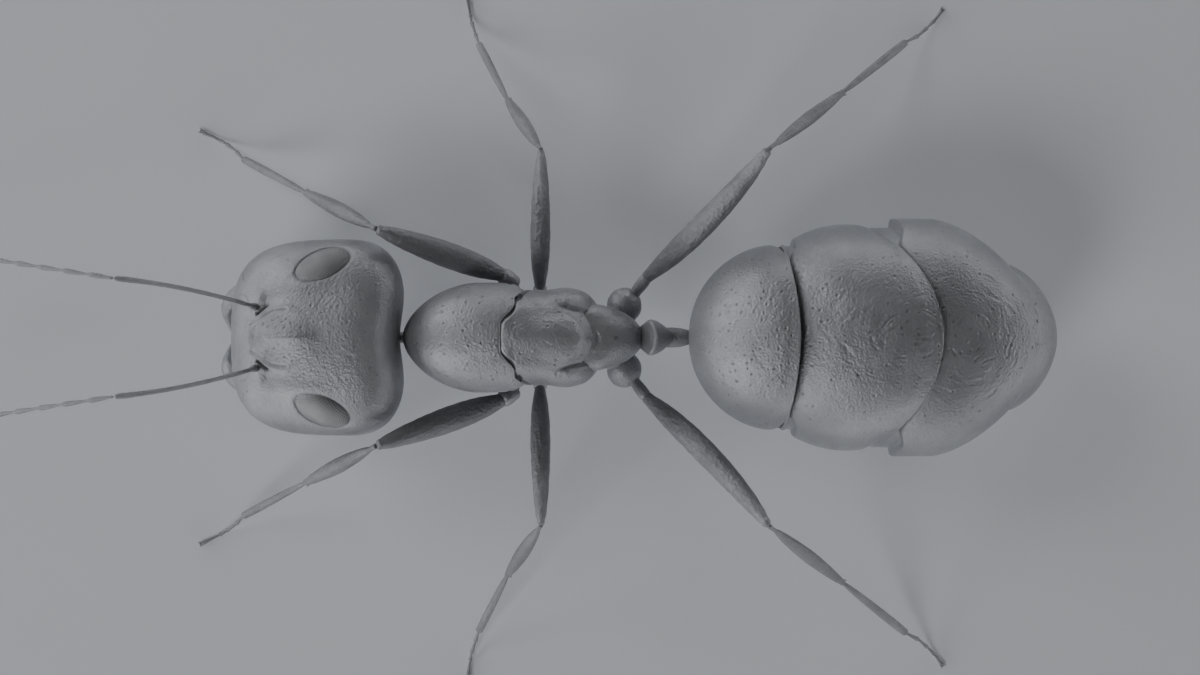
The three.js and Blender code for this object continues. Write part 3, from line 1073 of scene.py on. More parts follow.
    def mouth(self) -> list[Skin]:
        """The lower lip and the four palps, folded under the head.

        Returns:
            Their skins.
        """
        skins = [egg((0.0, -11.55, 2.75), (0.62, 0.75, 0.4), 30, 40)]
        skins.append(egg((0.0, -12.25, 3.35), (0.85, 0.22, 0.5), 24, 40, Euler((0.35, 0.0, 0.0))))
        for side in Side:
            for x, reach in ((0.62, 2.1), (0.28, 1.3)):
                sign, root = side.value, -11.2
                corners = [
                    (sign * x, -11.7, 2.55), (sign * (x + 0.25), root, 2.0),
                    (sign * (x + 0.3), root + 0.5 * reach, 2.15), (sign * (x + 0.1), root + reach, 2.45),
                ]
                path = curve_through(corners, 61)
                share = np.linspace(0.0, 1.0, 61)
                thick = (0.055 + 0.018 * np.cos(2 * np.pi * share * 5)) * round_ends(share, 0.02, 0.06)
                skins.append(swept(path, thick, thick, 12, (0.97, 0.1, 0.2)))
        return skins

    def build(self, placing: Placing) -> None:
        """Makes the head."""
        skins = [self.capsule(), *self.mouth()]
        finishes = [SHELL] + [LIMB] * (len(skins) - 1)
        placing.piece("head_capsule", skins, finishes, Slot.SHELL, ["head"])


@dataclass
class Eye:
    """A compound eye: an egg on the slope of the head, with six-sided facets.

    outward, splay and pitch are its turns in degrees, facet is a facet's width, and gap_shade how much
    painted shade lies between the facets.
    """

    centre: Point = (2.27, -9.1, 6.03)
    size: Point = (0.63, 1.04, 0.46)
    outward: float = 38.0
    splay: float = 17.0
    pitch: float = 7.0
    facet: float = 0.066
    facet_height: float = 0.02
    gap_shade: float = 0.4

    def turn(self) -> Euler:
        """How the eye is turned."""
        return Euler(np.radians((self.pitch, self.outward, -self.splay)))

    def out_from_middle(self, points: Floats) -> Floats:
        """How far points lie from the eye's middle, where 1 is the eye's surface."""
        along_axes = (points - np.array(self.centre)) @ np.array(self.turn().to_matrix())
        return np.linalg.norm(along_axes / np.array(self.size), axis=-1)

    def dome(self) -> Skin:
        """The eye's surface; each facet is raised by h (1 - (2d/w)^2), d off its middle.

        The middles are two grids with cells of 1 by the root of 3 facets, half a cell apart.

        Returns:
            The skin.
        """
        skin = egg(self.centre, self.size, 160, 220, self.turn())
        cell = np.array([1.0, np.sqrt(3.0)]) * self.facet
        flat = skin.local[..., :2]
        grids = [np.mod(flat - shift, cell) - cell / 2 for shift in (0.0, cell / 2)]
        away = np.min([np.linalg.norm(grid, axis=-1) for grid in grids], axis=0)
        dome = smoothstep(0.05, 0.2, skin.local[..., 2])
        # Painted shade in the gaps between the facets.
        skin.painted_shade = self.gap_shade * dome * smoothstep(0.36, 0.56, away / self.facet)
        return skin.raise_by(self.facet_height * dome * (1 - (away / (0.5 * self.facet)) ** 2))

    def build(self, placing: Placing, side: Side) -> None:
        """Makes the eye of one side."""
        name = f"eye_{side.word}"
        placing.piece(f"eye_lens_{side.word}", [self.dome().on_side(side)], [EYE], Slot.EYE, [name])


@dataclass
class Mandible:
    """A closed jaw: a bent blade that thins to a toothed edge.

    The teeth stand from edge to tip and point along tooth; every other one is shorter and
    thinner by tooth_change.
    """

    hinge: Point = (1.66, -11.7, 3.95)
    bend: Point = (1.3, -12.92, 3.75)
    tip: Point = (0.18, -12.62, 2.75)
    thick: float = 0.38
    tall: float = 0.62
    thin_tip: float = 0.42
    lines_per_mm: float = 9.0
    line_height: float = 0.009
    teeth: int = 5
    edge: Point = (1.1, -12.45, 3.0)
    tooth: Point = (-0.16, 0.12, -0.3)
    tooth_radius: float = 0.15
    tooth_change: Pair = (0.08, 0.015)

    def blade(self) -> Skin:
        """The blade: a section carried along a quadratic curve, with fine lines along it.

        Returns:
            The skin.
        """
        share = np.linspace(0.0, 1.0, 110)
        t = share[:, None]
        hinge, bend, tip = (np.array(p) for p in (self.hinge, self.bend, self.tip))
        path = (1 - t) ** 2 * hinge + 2 * t * (1 - t) * bend + t**2 * tip
        taper = mix(1.0, self.thin_tip, smoothstep(0.35, 1.0, share)) * round_ends(share, 0.06, 0.1)
        skin = swept(path, self.thick * taper, self.tall * taper, 90)
        lines = np.cos(2 * np.pi * skin.local[..., 2] * self.lines_per_mm)
        skin.raise_by(self.line_height * lines * smoothstep(0.9, 0.5, share)[:, None], shade=8.0)
        return leathery(skin, 0.01, 31)

    def build(self, placing: Placing, side: Side) -> None:
        """Makes the jaw of one side.

        Args:
            placing: Where the ant lies in the row frame.
            side: Which side.
        """
        skins = [self.blade()]
        shorter, thinner = self.tooth_change
        for index, share in enumerate(np.linspace(0.0, 1.0, self.teeth)):
            root = mix(np.array(self.edge), np.array(self.tip), share)
            point = root + np.array(self.tooth) + np.array([0.0, 0.0, shorter * (index % 2)])
            skins.append(spike(tuple(root), tuple(point), self.tooth_radius - thinner * (index % 2), 10))
        skins = [skin.on_side(side) for skin in skins]
        name = f"mandible_{side.word}"
        placing.piece(f"jaw_{side.word}", skins, [SHELL] * len(skins), Slot.SHELL, [name])


@dataclass
class Antenna:
    """The long first joint with its ball, and the eleven short joints of the whip.

    The whip heads forwards by heading degrees from straight out, starts with a drop of as
    many degrees and falls by droop more at each joint.
    """

    base: Point = (0.97, -11.2, 5.9)
    elbow: Point = (1.82, -14.97, 9.3)
    bow: Point = (0.27, 0.0, 0.35)
    shaft: tuple[Pair, ...] = (
        (0.0, 0.1), (0.025, 0.125), (0.05, 0.1), (0.075, 0.06), (0.11, 0.074), (0.4, 0.074),
        (0.75, 0.08), (0.93, 0.092), (1.0, 0.07),
    )
    joints: int = 11
    length: float = 1.0
    thin: float = 0.046
    thick: float = 0.084
    waist: float = 0.62
    heading: float = 81.4
    drop: float = 20.0
    droop: float = 2.2

    def scape(self) -> Skin:
        """The first joint: a ball, a thin neck and a shaft that thickens to its far end.

        Returns:
            The skin.
        """
        share = np.linspace(0.0, 1.0, 110)
        t = share[:, None]
        path = mix(np.array(self.base), np.array(self.elbow), t) + 2 * t * (1 - t) * np.array(self.bow)
        radius = profile_at(self.shaft, share, 400) * round_ends(share, 0.02, 0.02)
        return leathery(swept(path, radius, radius, 28), 0.004, 41)

    def whip(self) -> Skin:
        """The eleven short joints: each widens towards its far end and is drawn in there.

        Returns:
            The skin.
        """
        fall = np.radians(self.drop + self.droop * np.arange(self.joints))
        turn = np.radians(self.heading)
        flat = np.cos(fall)
        steps = np.stack([flat * np.cos(turn), -flat * np.sin(turn), -np.sin(fall)], axis=-1)
        steps = np.concatenate([np.zeros((1, 3)), self.length * steps])
        corner = np.array(self.elbow) + np.cumsum(steps, axis=0)
        place = np.linspace(0.0, self.joints, self.joints * 18 + 1)
        counted = np.arange(self.joints + 1)
        path = np.stack([np.interp(place, counted, corner[:, i]) for i in range(3)], axis=-1)
        within = np.mod(place, 1.0)
        radius = mix(self.thin, self.thick, smoothstep(0.0, 0.72, within))
        radius *= mix(1.0, self.waist, smoothstep(0.8, 1.0, within))
        radius *= round_ends(place / self.joints, 0.006, 0.05)
        return swept(path, radius, radius, 16)

    def build(self, placing: Placing, side: Side) -> None:
        """Makes both pieces of one antenna.

        Args:
            placing: Where the ant lies in the row frame.
            side: Which side.
        """
        made = {"shaft": (self.scape(), "scape"), "whip": (self.whip(), "funiculus")}
        for part, (skin, joint) in made.items():
            name = f"antenna_{side.word}_{joint}"
            placing.piece(f"feeler_{part}_{side.word}", [skin.on_side(side)], [LIMB], Slot.LIMB, [name])


# ------------------------------------------------------------------ the thorax and waist


@dataclass
class Pronotum:
    """The first plate of the thorax, with the neck before it and soft skin behind it.

    Its rim is sunk a little, and its pits begin over pits_start along the body.
    """

    plate: Plate = Plate(
        front=-6.56, rear=-2.1, axis=(5.15, 5.4), width=Arc(1.82, 0.54, 1.72, 4.0),
        top=Arc(1.9, 0.74, 1.9, 3.0), bottom=Arc(1.75, 0.7, 1.8, 2.6), square=2.15, cut=0.752,
        sweeps=((0.44, 0.24, 0.62), (0.2, 0.72, 0.84), (-0.5, 0.88, 1.0)),
    )
    sunk_rim: float = 0.012
    whorl: Whorl = Whorl((0.0, -3.6), 1.6, 0.008, 55, 1.6)
    pits: Pits = Pits(75, 52, 0.04, 0.026, grains=0.5)
    pits_start: Pair = (-6.4, -5.6)

    def build(self, placing: Placing) -> None:
        """Makes the pronotum."""
        skin = self.plate.skin(165, 320, 1.2)
        up = skin.facing_up()
        skin.raise_by(-self.sunk_rim * smoothstep(0.1, 0.0, self.plate.before_rim(skin)))
        leathery(skin, 0.004, 51)
        self.whorl.on(skin, up)
        self.pits.on(skin, up * smoothstep(*self.pits_start, skin.local[..., 1]))
        neck = leathery(egg((0.0, -6.5, 4.4), (0.2, 0.5, 0.3), 50, 70), 0.008, 53)
        soft = egg((0.0, -3.14, 5.34), (1.3, 0.16, 1.9), 70, 140)
        skins = [skin.with_rim(0.05, 0.3), neck, soft]
        placing.piece("pronotum_plate", skins, [SHELL, MEMBRANE, MEMBRANE], Slot.SHELL, ["pronotum"])


def seam_of_waist(x: Floats, y: Floats) -> Floats:
    """How far a place lies behind the seam before the propodeum, y = -0.134 - 0.68 x^2."""
    return y + 0.134 + 0.68 * x**2


@dataclass
class Mesothorax:
    """The middle plate of the thorax, with a bulging flank on either side.

    The bulge is a lobe in the place along the body and the angle above its side, in
    degrees; its edge is a superellipse of the given power.
    """

    plate: Plate = Plate(
        front=-3.9, rear=0.1, axis=(5.4, 5.2), width=Arc(1.58, 0.5, 3.6, 3.2),
        top=Arc(1.98, 0.481, 3.6, 3.2), bottom=Arc(1.75, 0.57, 3.0, 3.0), square=2.25,
        neck=(0.99, 0.95),
    )
    front: Plate = Pronotum.plate
    roof_slope: float = 0.2
    roof_ridge: float = 0.13
    back_fall: float = 0.1
    lobe_axis: float = 5.3
    lobe_middle: Pair = (-0.85, 24.0)
    lobe_size: Pair = (0.92, 30.0)
    lobe_power: float = 2.6
    lobe_height: float = 0.11
    lobe_groove: float = 0.012
    knob: Mound = Mound(0.03, (1.22, -1.08), (0.09, 0.09))
    slit: Crease = Crease(-0.035, 0.04, ((1.22, -1.42), (1.1, -1.28), (1.06, -1.05)))
    flank_seam: Pair = (0.07, 0.06)
    whorl: Whorl = Whorl((0.0, -1.5), 1.3, 0.005, 65, 2.2)
    pits: Pits = Pits(44, 62, 0.038, 0.026, grains=0.5)
    pits_span: Span = (0.2, 0.5, 0.9, 1.3)

    def roof(self, x: Floats, y: Floats) -> Floats:
        """How far the roof falls away from its ridge: slope (sqrt(x^2 + r^2) - r).

        Args:
            x: Distance from the midline.
            y: Place along the body.

        Returns:
            Depths in millimetres.
        """
        share = smoothstep(-3.1, -2.7, y) * smoothstep(1.4, 0.7, x)
        share = share * (1 - smoothstep(0.3, 1.1, x) * smoothstep(-1.5, -2.8, y))
        return self.roof_slope * share * (np.sqrt(x**2 + self.roof_ridge**2) - self.roof_ridge)

    def lobe_share(self, y: Floats, angle: Floats) -> Floats:
        """How far each place lies from the middle of the bulge, where 1 is its edge.

        Args:
            y: Place along the body.
            angle: Angle above the side in degrees.

        Returns:
            Array of the shape of y.
        """
        along = np.abs((y - self.lobe_middle[0]) / self.lobe_size[0])
        above = np.abs((angle - self.lobe_middle[1]) / self.lobe_size[1])
        return (along**self.lobe_power + above**self.lobe_power) ** (1 / self.lobe_power)

    def build(self, placing: Placing) -> None:
        """Makes the mesothorax.

        Args:
            placing: Where the ant lies in the row frame.
        """
        skin = self.plate.skin(165, 320, 1.2, under=self.front)
        x, y, z = np.abs(skin.local[..., 0]), skin.local[..., 1], skin.local[..., 2]
        up = skin.facing_up()
        sideways = smoothstep(0.5, 0.2, np.abs(skin.normals()[..., 2]))
        angle = np.degrees(np.arctan2(z - self.lobe_axis, x))
        lobe = self.lobe_share(y, angle)
        skin.raise_by(-up * self.roof(x, y))
        back = smoothstep(-0.6, -0.02, seam_of_waist(x, y)) * smoothstep(0.9, 1.08, lobe)
        skin.raise_by(-self.back_fall * up * back * smoothstep(1.2, 0.95, x))
        skin.raise_by(self.lobe_height * smoothstep(1.1, 0.3, lobe))
        groove = self.lobe_groove * bell((lobe - 1.02) / 0.08) * smoothstep(10.0, 30.0, angle)
        skin.raise_by(-groove * smoothstep(-1.7, -1.0, y), shade=3.0)
        skin.raise_by(up * (self.knob.relief(x, y) + self.slit.relief(x, y)), shade=8.0)
        depth, half = self.flank_seam
        skin.raise_by(-depth * sideways * bell((y + 2.1 + 0.3 * (z - 5.0)) / half), shade=7.0)
        leathery(skin, 0.004, 61)
        self.whorl.on(skin, up)
        self.pits.on(skin, up * between(x, *self.pits_span))
        soft = egg((0.0, -0.1, 5.0), (1.05, 0.45, 1.1), 60, 110)
        placing.piece("mesothorax_plate", [skin, soft], [SHELL, MEMBRANE], Slot.SHELL, ["mesothorax"])


@dataclass
class Propodeum:
    """The last part of the thorax, narrow and high, with its breathing holes."""

    plate: Plate = Plate(
        front=-1.3, rear=1.46, axis=(5.0, 4.7), width=Arc(1.1, 0.36, 2.5, 1.9),
        top=Arc(1.68, 0.36, 2.5, 2.1), bottom=Arc(1.6, 0.4, 2.5, 2.2), square=2.8,
    )
    dimple: Mound = Mound(-0.06, (0.0, 0.555), (0.07, 0.07))
    hole: Pair = (0.45, 5.2)
    hole_radius: float = 0.09
    hole_depth: float = 0.09
    hole_wall: float = 0.04
    shoulders: float = 0.12
    seam_depth: float = 0.07
    pits: Pits = Pits(14, 72, 0.034, 0.018)

    def build(self, placing: Placing) -> None:
        """Makes the propodeum.

        Args:
            placing: Where the ant lies in the row frame.
        """
        skin = self.plate.skin(150, 270, 1.0, lambda t: 1.0 + 1.2 * smoothstep(0.35, 0.45, t))
        x, y, z = np.abs(skin.local[..., 0]), skin.local[..., 1], skin.local[..., 2]
        up = skin.facing_up()
        skin.raise_by(up * self.dimple.relief(x, y), shade=9.0)
        hole = np.hypot(y - self.hole[0], (z - self.hole[1]) * 0.5) / self.hole_radius
        breath = self.hole_wall * bell((hole - 1.6) / 0.6) - self.hole_depth * bell(hole)
        skin.raise_by(smoothstep(0.6, 0.9, x) * breath, shade=9.0)
        skin.raise_by(self.shoulders * up * smoothstep(0.5, 0.95, x) * smoothstep(0.7, -0.1, y))
        seam = bell((seam_of_waist(x, y) - 0.05) / 0.1) * bell(x / 0.3)
        skin.raise_by(-self.seam_depth * up * seam, shade=4.0)
        leathery(skin, 0.004, 71)
        self.pits.on(skin, up * smoothstep(0.0, 0.3, y))
        placing.piece("propodeum_plate", [skin], [SHELL], Slot.SHELL, ["propodeum"])


@dataclass
class Petiole:
    """The waist: a stalk with an upright scale, whose crest is bent back in the middle."""

    stalk: Plate = Plate(
        front=0.9, rear=3.08, axis=(4.35, 4.5), width=Arc(0.34, 0.5, 5.0, 3.4),
        top=Arc(0.4, 0.5, 5.0, 3.0), bottom=Arc(0.4, 0.5, 5.0, 3.0), square=2.0,
    )
    place: float = 1.62
    foot: float = 4.0
    crest: float = 5.98
    half_width: float = 0.6
    thickness: float = 0.3
    slope: float = 0.6
    back_slope: float = 0.8
    lean: float = 0.26
    bend: float = 0.26

    def scale(self) -> Skin:
        """The upright scale, with rows from its foot to its crest.

        A row is an ellipse, half_width times thickness at most, drawn in towards foot and
        crest. It leans back, its front and back slope out towards the foot, and its sides
        bend forwards as x^2.

        Returns:
            The skin.
        """
        share = spread(100, crowded_ends((0.0, 1.0), (2.0, 0.1)))[:, None]
        angle = np.linspace(0.0, 2 * np.pi, 150, endpoint=False)[None, :]
        full = Arc(1.0, 0.62, 3.0, 3.2).at(share)
        across, ahead = full * np.cos(angle), full * np.sin(angle)
        x = self.half_width * mix(0.62, 1.0, smoothstep(0.1, 0.75, share)) * across
        y = self.place + self.lean * share - self.thickness * mix(1.0, 0.5, share) * ahead
        y = y - self.slope * (1 - share) * np.maximum(0.0, ahead)
        y = y + self.back_slope * (1 - share) * np.maximum(0.0, -ahead)
        y = y - self.bend * share**2 * (x / self.half_width) ** 2
        z = np.broadcast_to(mix(self.foot, self.crest, share), x.shape)
        return leathery(Skin(np.stack([x, y, z], axis=-1)), 0.006, 81)

    def build(self, placing: Placing) -> None:
        """Makes the waist."""
        skins = [self.scale(), leathery(self.stalk.skin(70, 90, 0.0), 0.008, 82)]
        placing.piece("waist", skins, [SHELL, LIMB], Slot.SHELL, ["petiole"])


# ------------------------------------------------------------------ the abdomen


@dataclass(frozen=True)
class Ring:
    """One ring of the abdomen: its plate, its grid and how its surface is worked."""

    name: str
    plate: Plate
    rows: int
    sides: int
    pits: int
    seed: int
    whorls: tuple[Whorl, ...] = ()
    belly: float = 0.05
    belly_groove: float = 0.04
    belly_line: float = -0.46
    belly_step: float = 0.04
    rim_fall: float = 0.02
    flank_fall: float = 0.08
    unevenness: float = 0.008
    leather: Pair = (0.003, 0.002)
    back_width: float = 2.0

    def skin(self, under: Optional["Ring"]) -> Skin:
        """The ring's surface, with its belly plate set in under its back plate.

        The line between back and belly lies at belly_line of the plate's depth, and the
        surface under it is sunk by belly. The rear edge falls by rim_fall, and on the flanks by
        flank_fall more. Wrinkles and pits are strongest over back_width of the back.

        Args:
            under: The ring in front, whose rim covers this one's front.

        Returns:
            The skin.
        """
        skin = self.plate.skin(self.rows, self.sides, 2.4, under=None if under is None else under.plate)
        x, y, z = (skin.local[..., i] for i in range(3))
        depth = (z - mix(*self.plate.axis, self.plate.along(y))) / self.plate.bottom.size
        drop = smoothstep(self.belly_line + self.belly_step, self.belly_line - self.belly_step, depth)
        seam = self.belly_groove * bell((depth - self.belly_line) / 0.02)
        skin.raise_by(-self.belly * drop - seam, shade=6.0)
        up = skin.facing_up(0.1, 0.6)
        if self.plate.cut < 1.0:
            edge = self.plate.before_rim(skin)
            flank = self.plate.flank(x / self.plate.width.size) * smoothstep(0.35, 0.0, edge)
            skin.raise_by(-self.rim_fall * smoothstep(0.5, 0.2, edge) - self.flank_fall * flank)
        broad = Ripples(0.9, self.seed + 5, (1.6, 1.0, 1.6)).at(skin.local)
        skin.raise_by(self.unevenness * up * bell(x / (1.1 * self.back_width)) * broad)
        back = bell(x / self.back_width)
        leathery(skin, self.leather[0] + self.leather[1] * up * back, self.seed, size=0.6)
        for whorl in self.whorls:
            whorl.on(skin, up)
        Pits(self.pits, self.seed + 9, 0.038, 0.028).on(skin, up * (0.1 + back))
        return skin if self.plate.cut == 1.0 else skin.with_rim(0.06, 0.4)


@dataclass
class Abdomen:
    """The four rings of the abdomen, each under the rim of the one in front.

    soft_parts gives the middle and the half sizes of the soft skin inside a ring's front.
    """

    rings: tuple[Ring, ...] = (
        Ring(
            name="gaster_1",
            plate=Plate(
                front=2.96, rear=8.58, axis=(4.95, 5.4), width=Arc(3.08, 0.56, 2.05, 2.5),
                top=Arc(3.0, 0.56, 2.0, 2.5), bottom=Arc(2.75, 0.54, 1.9, 2.5), square=2.1, cut=0.593,
                bow=0.33, bow_power=1.4,
            ),
            rows=185, sides=360, pits=130, seed=100, whorls=(Whorl((0.0, 7.2), 2.0, 0.012, 104, 1.4),),
        ),
        Ring(
            name="gaster_2",
            plate=Plate(
                front=4.6, rear=13.65, axis=(5.3, 5.0), width=Arc(3.75, 0.5, 2.3, 2.5),
                top=Arc(3.38, 0.53, 2.0, 2.6), bottom=Arc(3.15, 0.48, 2.1, 2.4), square=2.1, cut=0.676,
                bow=1.8, bow_power=2.12, shoulder=0.4, neck=(0.985, 0.962),
            ),
            rows=215, sides=400, pits=190, seed=120, whorls=(Whorl((0.0, 9.5), 1.5, 0.024, 124, 1.9),),
        ),
        Ring(
            name="gaster_3",
            plate=Plate(
                front=8.9, rear=15.75, axis=(5.1, 4.75), width=Arc(3.95, 0.315, 10.0, 1.5),
                top=Arc(3.12, 0.361, 3.0, 1.9), bottom=Arc(3.0, 0.27, 4.0, 1.85), square=2.1,
                cut=0.766, bow=0.59, bow_power=1.6, shoulder=0.72, neck=(1.003, 0.962),
            ),
            rows=205, sides=400, pits=170, seed=140, whorls=(Whorl((0.0, 11.7), 2.0, 0.022, 144),),
        ),
        Ring(
            name="gaster_4",
            plate=Plate(
                front=12.0, rear=15.3, axis=(4.8, 4.6), width=Arc(2.5, 0.41, 2.0, 1.75),
                top=Arc(2.2, 0.4, 2.0, 1.8), bottom=Arc(2.1, 0.4, 2.0, 1.8), square=2.0,
            ),
            rows=130, sides=270, pits=40, seed=160,
        ),
    )
    soft_parts: dict[str, tuple[Point, Point]] = field(
        default_factory=lambda: {
            "gaster_2": ((0.0, 6.3, 5.15), (2.85, 1.4, 2.6)),
            "gaster_3": ((0.0, 9.8, 5.1), (3.42, 1.6, 2.75)),
            "gaster_4": ((0.0, 13.2, 4.9), (2.4, 1.4, 2.1)),
        }
    )

    def build(self, placing: Placing) -> None:
        """Makes the four rings, with soft skin between them.

        Args:
            placing: Where the ant lies in the row frame.
        """
        under: Optional[Ring] = None
        for ring in self.rings:
            skins = [ring.skin(under)]
            if ring.name in self.soft_parts:
                centre, size = self.soft_parts[ring.name]
                soft = egg(centre, size, 60, 150)
                skins.append(leathery(soft, 0.02, ring.seed + 15, (2.5, 1.0, 2.5)))
            finishes = [GASTER_SHELL, MEMBRANE][: len(skins)]
            placing.piece(f"{ring.name}_plate", skins, finishes, Slot.SHELL, [ring.name])
            under = ring


# ------------------------------------------------------------------ the legs


@dataclass(frozen=True)
class Step:
    """One length of a limb, from its near end to its far end.

    reach is its length seen from above, heading its turn in degrees from straight out
    towards the head, height how high its far end stands, and radius its greatest radius.
    """

    reach: float
    heading: float
    height: float
    radius: float

    def after(self, start: Floats) -> Floats:
        """The far end of this length from its start."""
        turn = np.radians(self.heading)
        far = start + self.reach * np.array([np.cos(turn), -np.sin(turn), 0.0])
        return np.array([far[0], far[1], self.height])


class Knots:
    """Profiles of the lengths of a leg, as knots of share and share of the radius."""

    COXA = ((0.0, 0.7), (0.2, 0.95), (0.45, 1.0), (0.8, 0.8), (1.0, 0.55))
    TROCHANTER = ((0.0, 0.8), (0.3, 0.9), (0.6, 1.0), (0.85, 0.95), (1.0, 0.8))
    FEMUR = (
        (0.0, 0.5), (0.04, 0.58), (0.15, 0.82), (0.28, 0.96), (0.42, 1.0), (0.56, 0.95), (0.7, 0.84),
        (0.82, 0.7), (0.92, 0.52), (0.96, 0.4), (0.98, 0.38), (1.0, 0.36),
    )
    TIBIA = (
        (0.0, 0.38), (0.04, 0.33), (0.09, 0.34), (0.11, 0.45), (0.16, 0.58), (0.25, 0.76), (0.36, 0.9),
        (0.5, 1.0), (0.62, 0.96), (0.76, 0.82), (0.88, 0.66), (0.97, 0.48), (1.0, 0.46),
    )
    HEEL = (
        (0.0, 0.6), (0.03, 0.5), (0.07, 0.62), (0.2, 0.78), (0.5, 0.95), (0.8, 1.0), (0.97, 0.9),
        (1.0, 0.88),
    )
    TOE = ((0.0, 0.66), (0.12, 0.64), (0.5, 0.8), (0.8, 1.0), (0.94, 1.06), (1.0, 0.95))


@dataclass
class Leg:
    """A leg of six lengths: coxa, trochanter, femur, tibia and a jointed foot with claws.

    The femur is bowed back by bow. round_coxa gives a coxa shaped as an egg: its middle and
    its half sizes.
    """

    name: str
    hip: Point
    coxa: Step
    trochanter: Step
    femur: Step
    tibia: Step
    heel: Step
    toes: tuple[Step, ...]
    bow: float = 0.0
    round_coxa: Optional[tuple[Point, Point]] = None

    def joints(self) -> list[Floats]:
        """The places of the joints, from the hip to the tip of the foot."""
        places = [np.array(self.hip)]
        for step in (self.coxa, self.trochanter, self.femur, self.tibia, self.heel, *self.toes):
            places.append(step.after(places[-1]))
        return places

    def length(
        self, ends: tuple[Floats, Floats], knots: Sequence[Pair], radius: float, grid: tuple[int, int],
        rounding: Pair, bow: float = 0.0,
    ) -> Skin:
        """One straight or slightly bowed length of the leg.

        Args:
            ends: Its near end and its far end.
            knots: Knots of share and thickness, as a share of radius.
            radius: Its greatest radius.
            grid: Rows of points, and points in a row.
            rounding: Lengths of the rounded ends, as shares.
            bow: How far its middle lies behind the straight line.

        Returns:
            The skin.
        """
        rows, sides = grid
        share = spread(rows, crowded_ends((4.0, 0.05), (4.0, 0.05)))
        path = mix(*ends, share[:, None])
        path[:, 1] += 4 * bow * share * (1 - share)
        thick = radius * profile_at(knots, share) * round_ends(share, *rounding)
        return swept(path, thick, thick, sides)

    def build(self, placing: Placing, side: Side) -> None:
        """Makes the four pieces of one leg.

        Args:
            placing: Where the ant lies in the row frame.
            side: Which side.
        """
        hip, coxa_end, thigh, knee, ankle, *foot = self.joints()
        seed = 200 + 10 * len(self.name)
        if self.round_coxa is None:
            coxa = self.length((hip, coxa_end), Knots.COXA, self.coxa.radius, (60, 60), (0.12, 0.15))
        else:
            coxa = egg(*self.round_coxa, 60, 70)
        tucked_in = mix(thigh, knee, 0.03)
        trochanter = self.length(
            (coxa_end, tucked_in), Knots.TROCHANTER, self.trochanter.radius, (36, 44), (0.2, 0.2)
        )
        femur = self.length(
            (thigh, knee), Knots.FEMUR, self.femur.radius, (150, 72), (0.015, 0.02), self.bow
        )
        tibia = self.length((knee, ankle), Knots.TIBIA, self.tibia.radius, (100, 48), (0.01, 0.015))
        lengthwise = (0.7, 2.2, 0.7)
        parts = {
            "coxa": ([leathery(coxa, 0.008, seed)], [SHELL]),
            "femur": (
                [leathery(trochanter, 0.008, seed + 1), leathery(femur, 0.014, seed + 2, lengthwise, 0.6)],
                [SHELL, LIMB],
            ),
            "tibia": (
                [leathery(tibia, 0.007, seed + 3, lengthwise, 0.6), self.spur(knee, ankle, foot[0])],
                [LIMB, LIMB],
            ),
            "tarsus": (self.foot([ankle, *foot]), [LIMB] * (len(foot) + 3)),
        }
        for part, (skins, finishes) in parts.items():
            name = f"leg_{self.name}_{side.word}_{part}"
            made = [skin.on_side(side) for skin in skins]
            placing.piece(f"{name}_shell", made, finishes, Slot.LIMB, [name])

    def spur(self, knee: Floats, ankle: Floats, heel: Floats) -> Skin:
        """The spur at the inner side of the end of the shin.

        Args:
            knee: The knee.
            ankle: The end of the shin.
            heel: The first joint of the foot.

        Returns:
            The skin.
        """
        along, ahead = unit(ankle - knee), unit(heel - ankle)
        across = unit(np.cross(along, UP))
        down = np.cross(along, across)
        root = ankle - 0.06 * along + self.tibia.radius * 0.3 * (down - across)
        tip = root + 0.3 * ahead - 0.08 * across + 0.1 * down
        return spike(tuple(root), tuple(tip), 0.035, 8, tuple(0.03 * down))

    def foot(self, joints: Sequence[Floats]) -> list[Skin]:
        """The five joints of the foot, the two claws and the pad between them.

        Args:
            joints: The ankle and the far ends of the five joints.

        Returns:
            Their skins.
        """
        heel = self.length(joints[:2], Knots.HEEL, self.heel.radius, (40, 20), (0.02, 0.03))
        toes = [
            self.length(ends, Knots.TOE, toe.radius, (22, 20), (0.1, 0.12))
            for toe, ends in zip(self.toes, zip(joints[1:], joints[2:]))
        ]
        tip = joints[-1]
        ahead = unit((tip - joints[-2]) * np.array([1.0, 1.0, 0.0]))
        across = np.cross(ahead, UP)
        sole = tip * np.array([1.0, 1.0, 0.0]) + 0.015 * UP
        claws = []
        for side in Side:
            root = tip - 0.06 * ahead + 0.045 * side.value * across
            point = sole + 0.13 * ahead + 0.09 * side.value * across
            claws.append(spike(tuple(root), tuple(point), 0.028, 8, (0.0, 0.0, 0.05)))
        pad = egg(tuple(tip + 0.02 * ahead), (0.05, 0.05, 0.035), 10, 14)
        return [heel, *toes, *claws, pad]


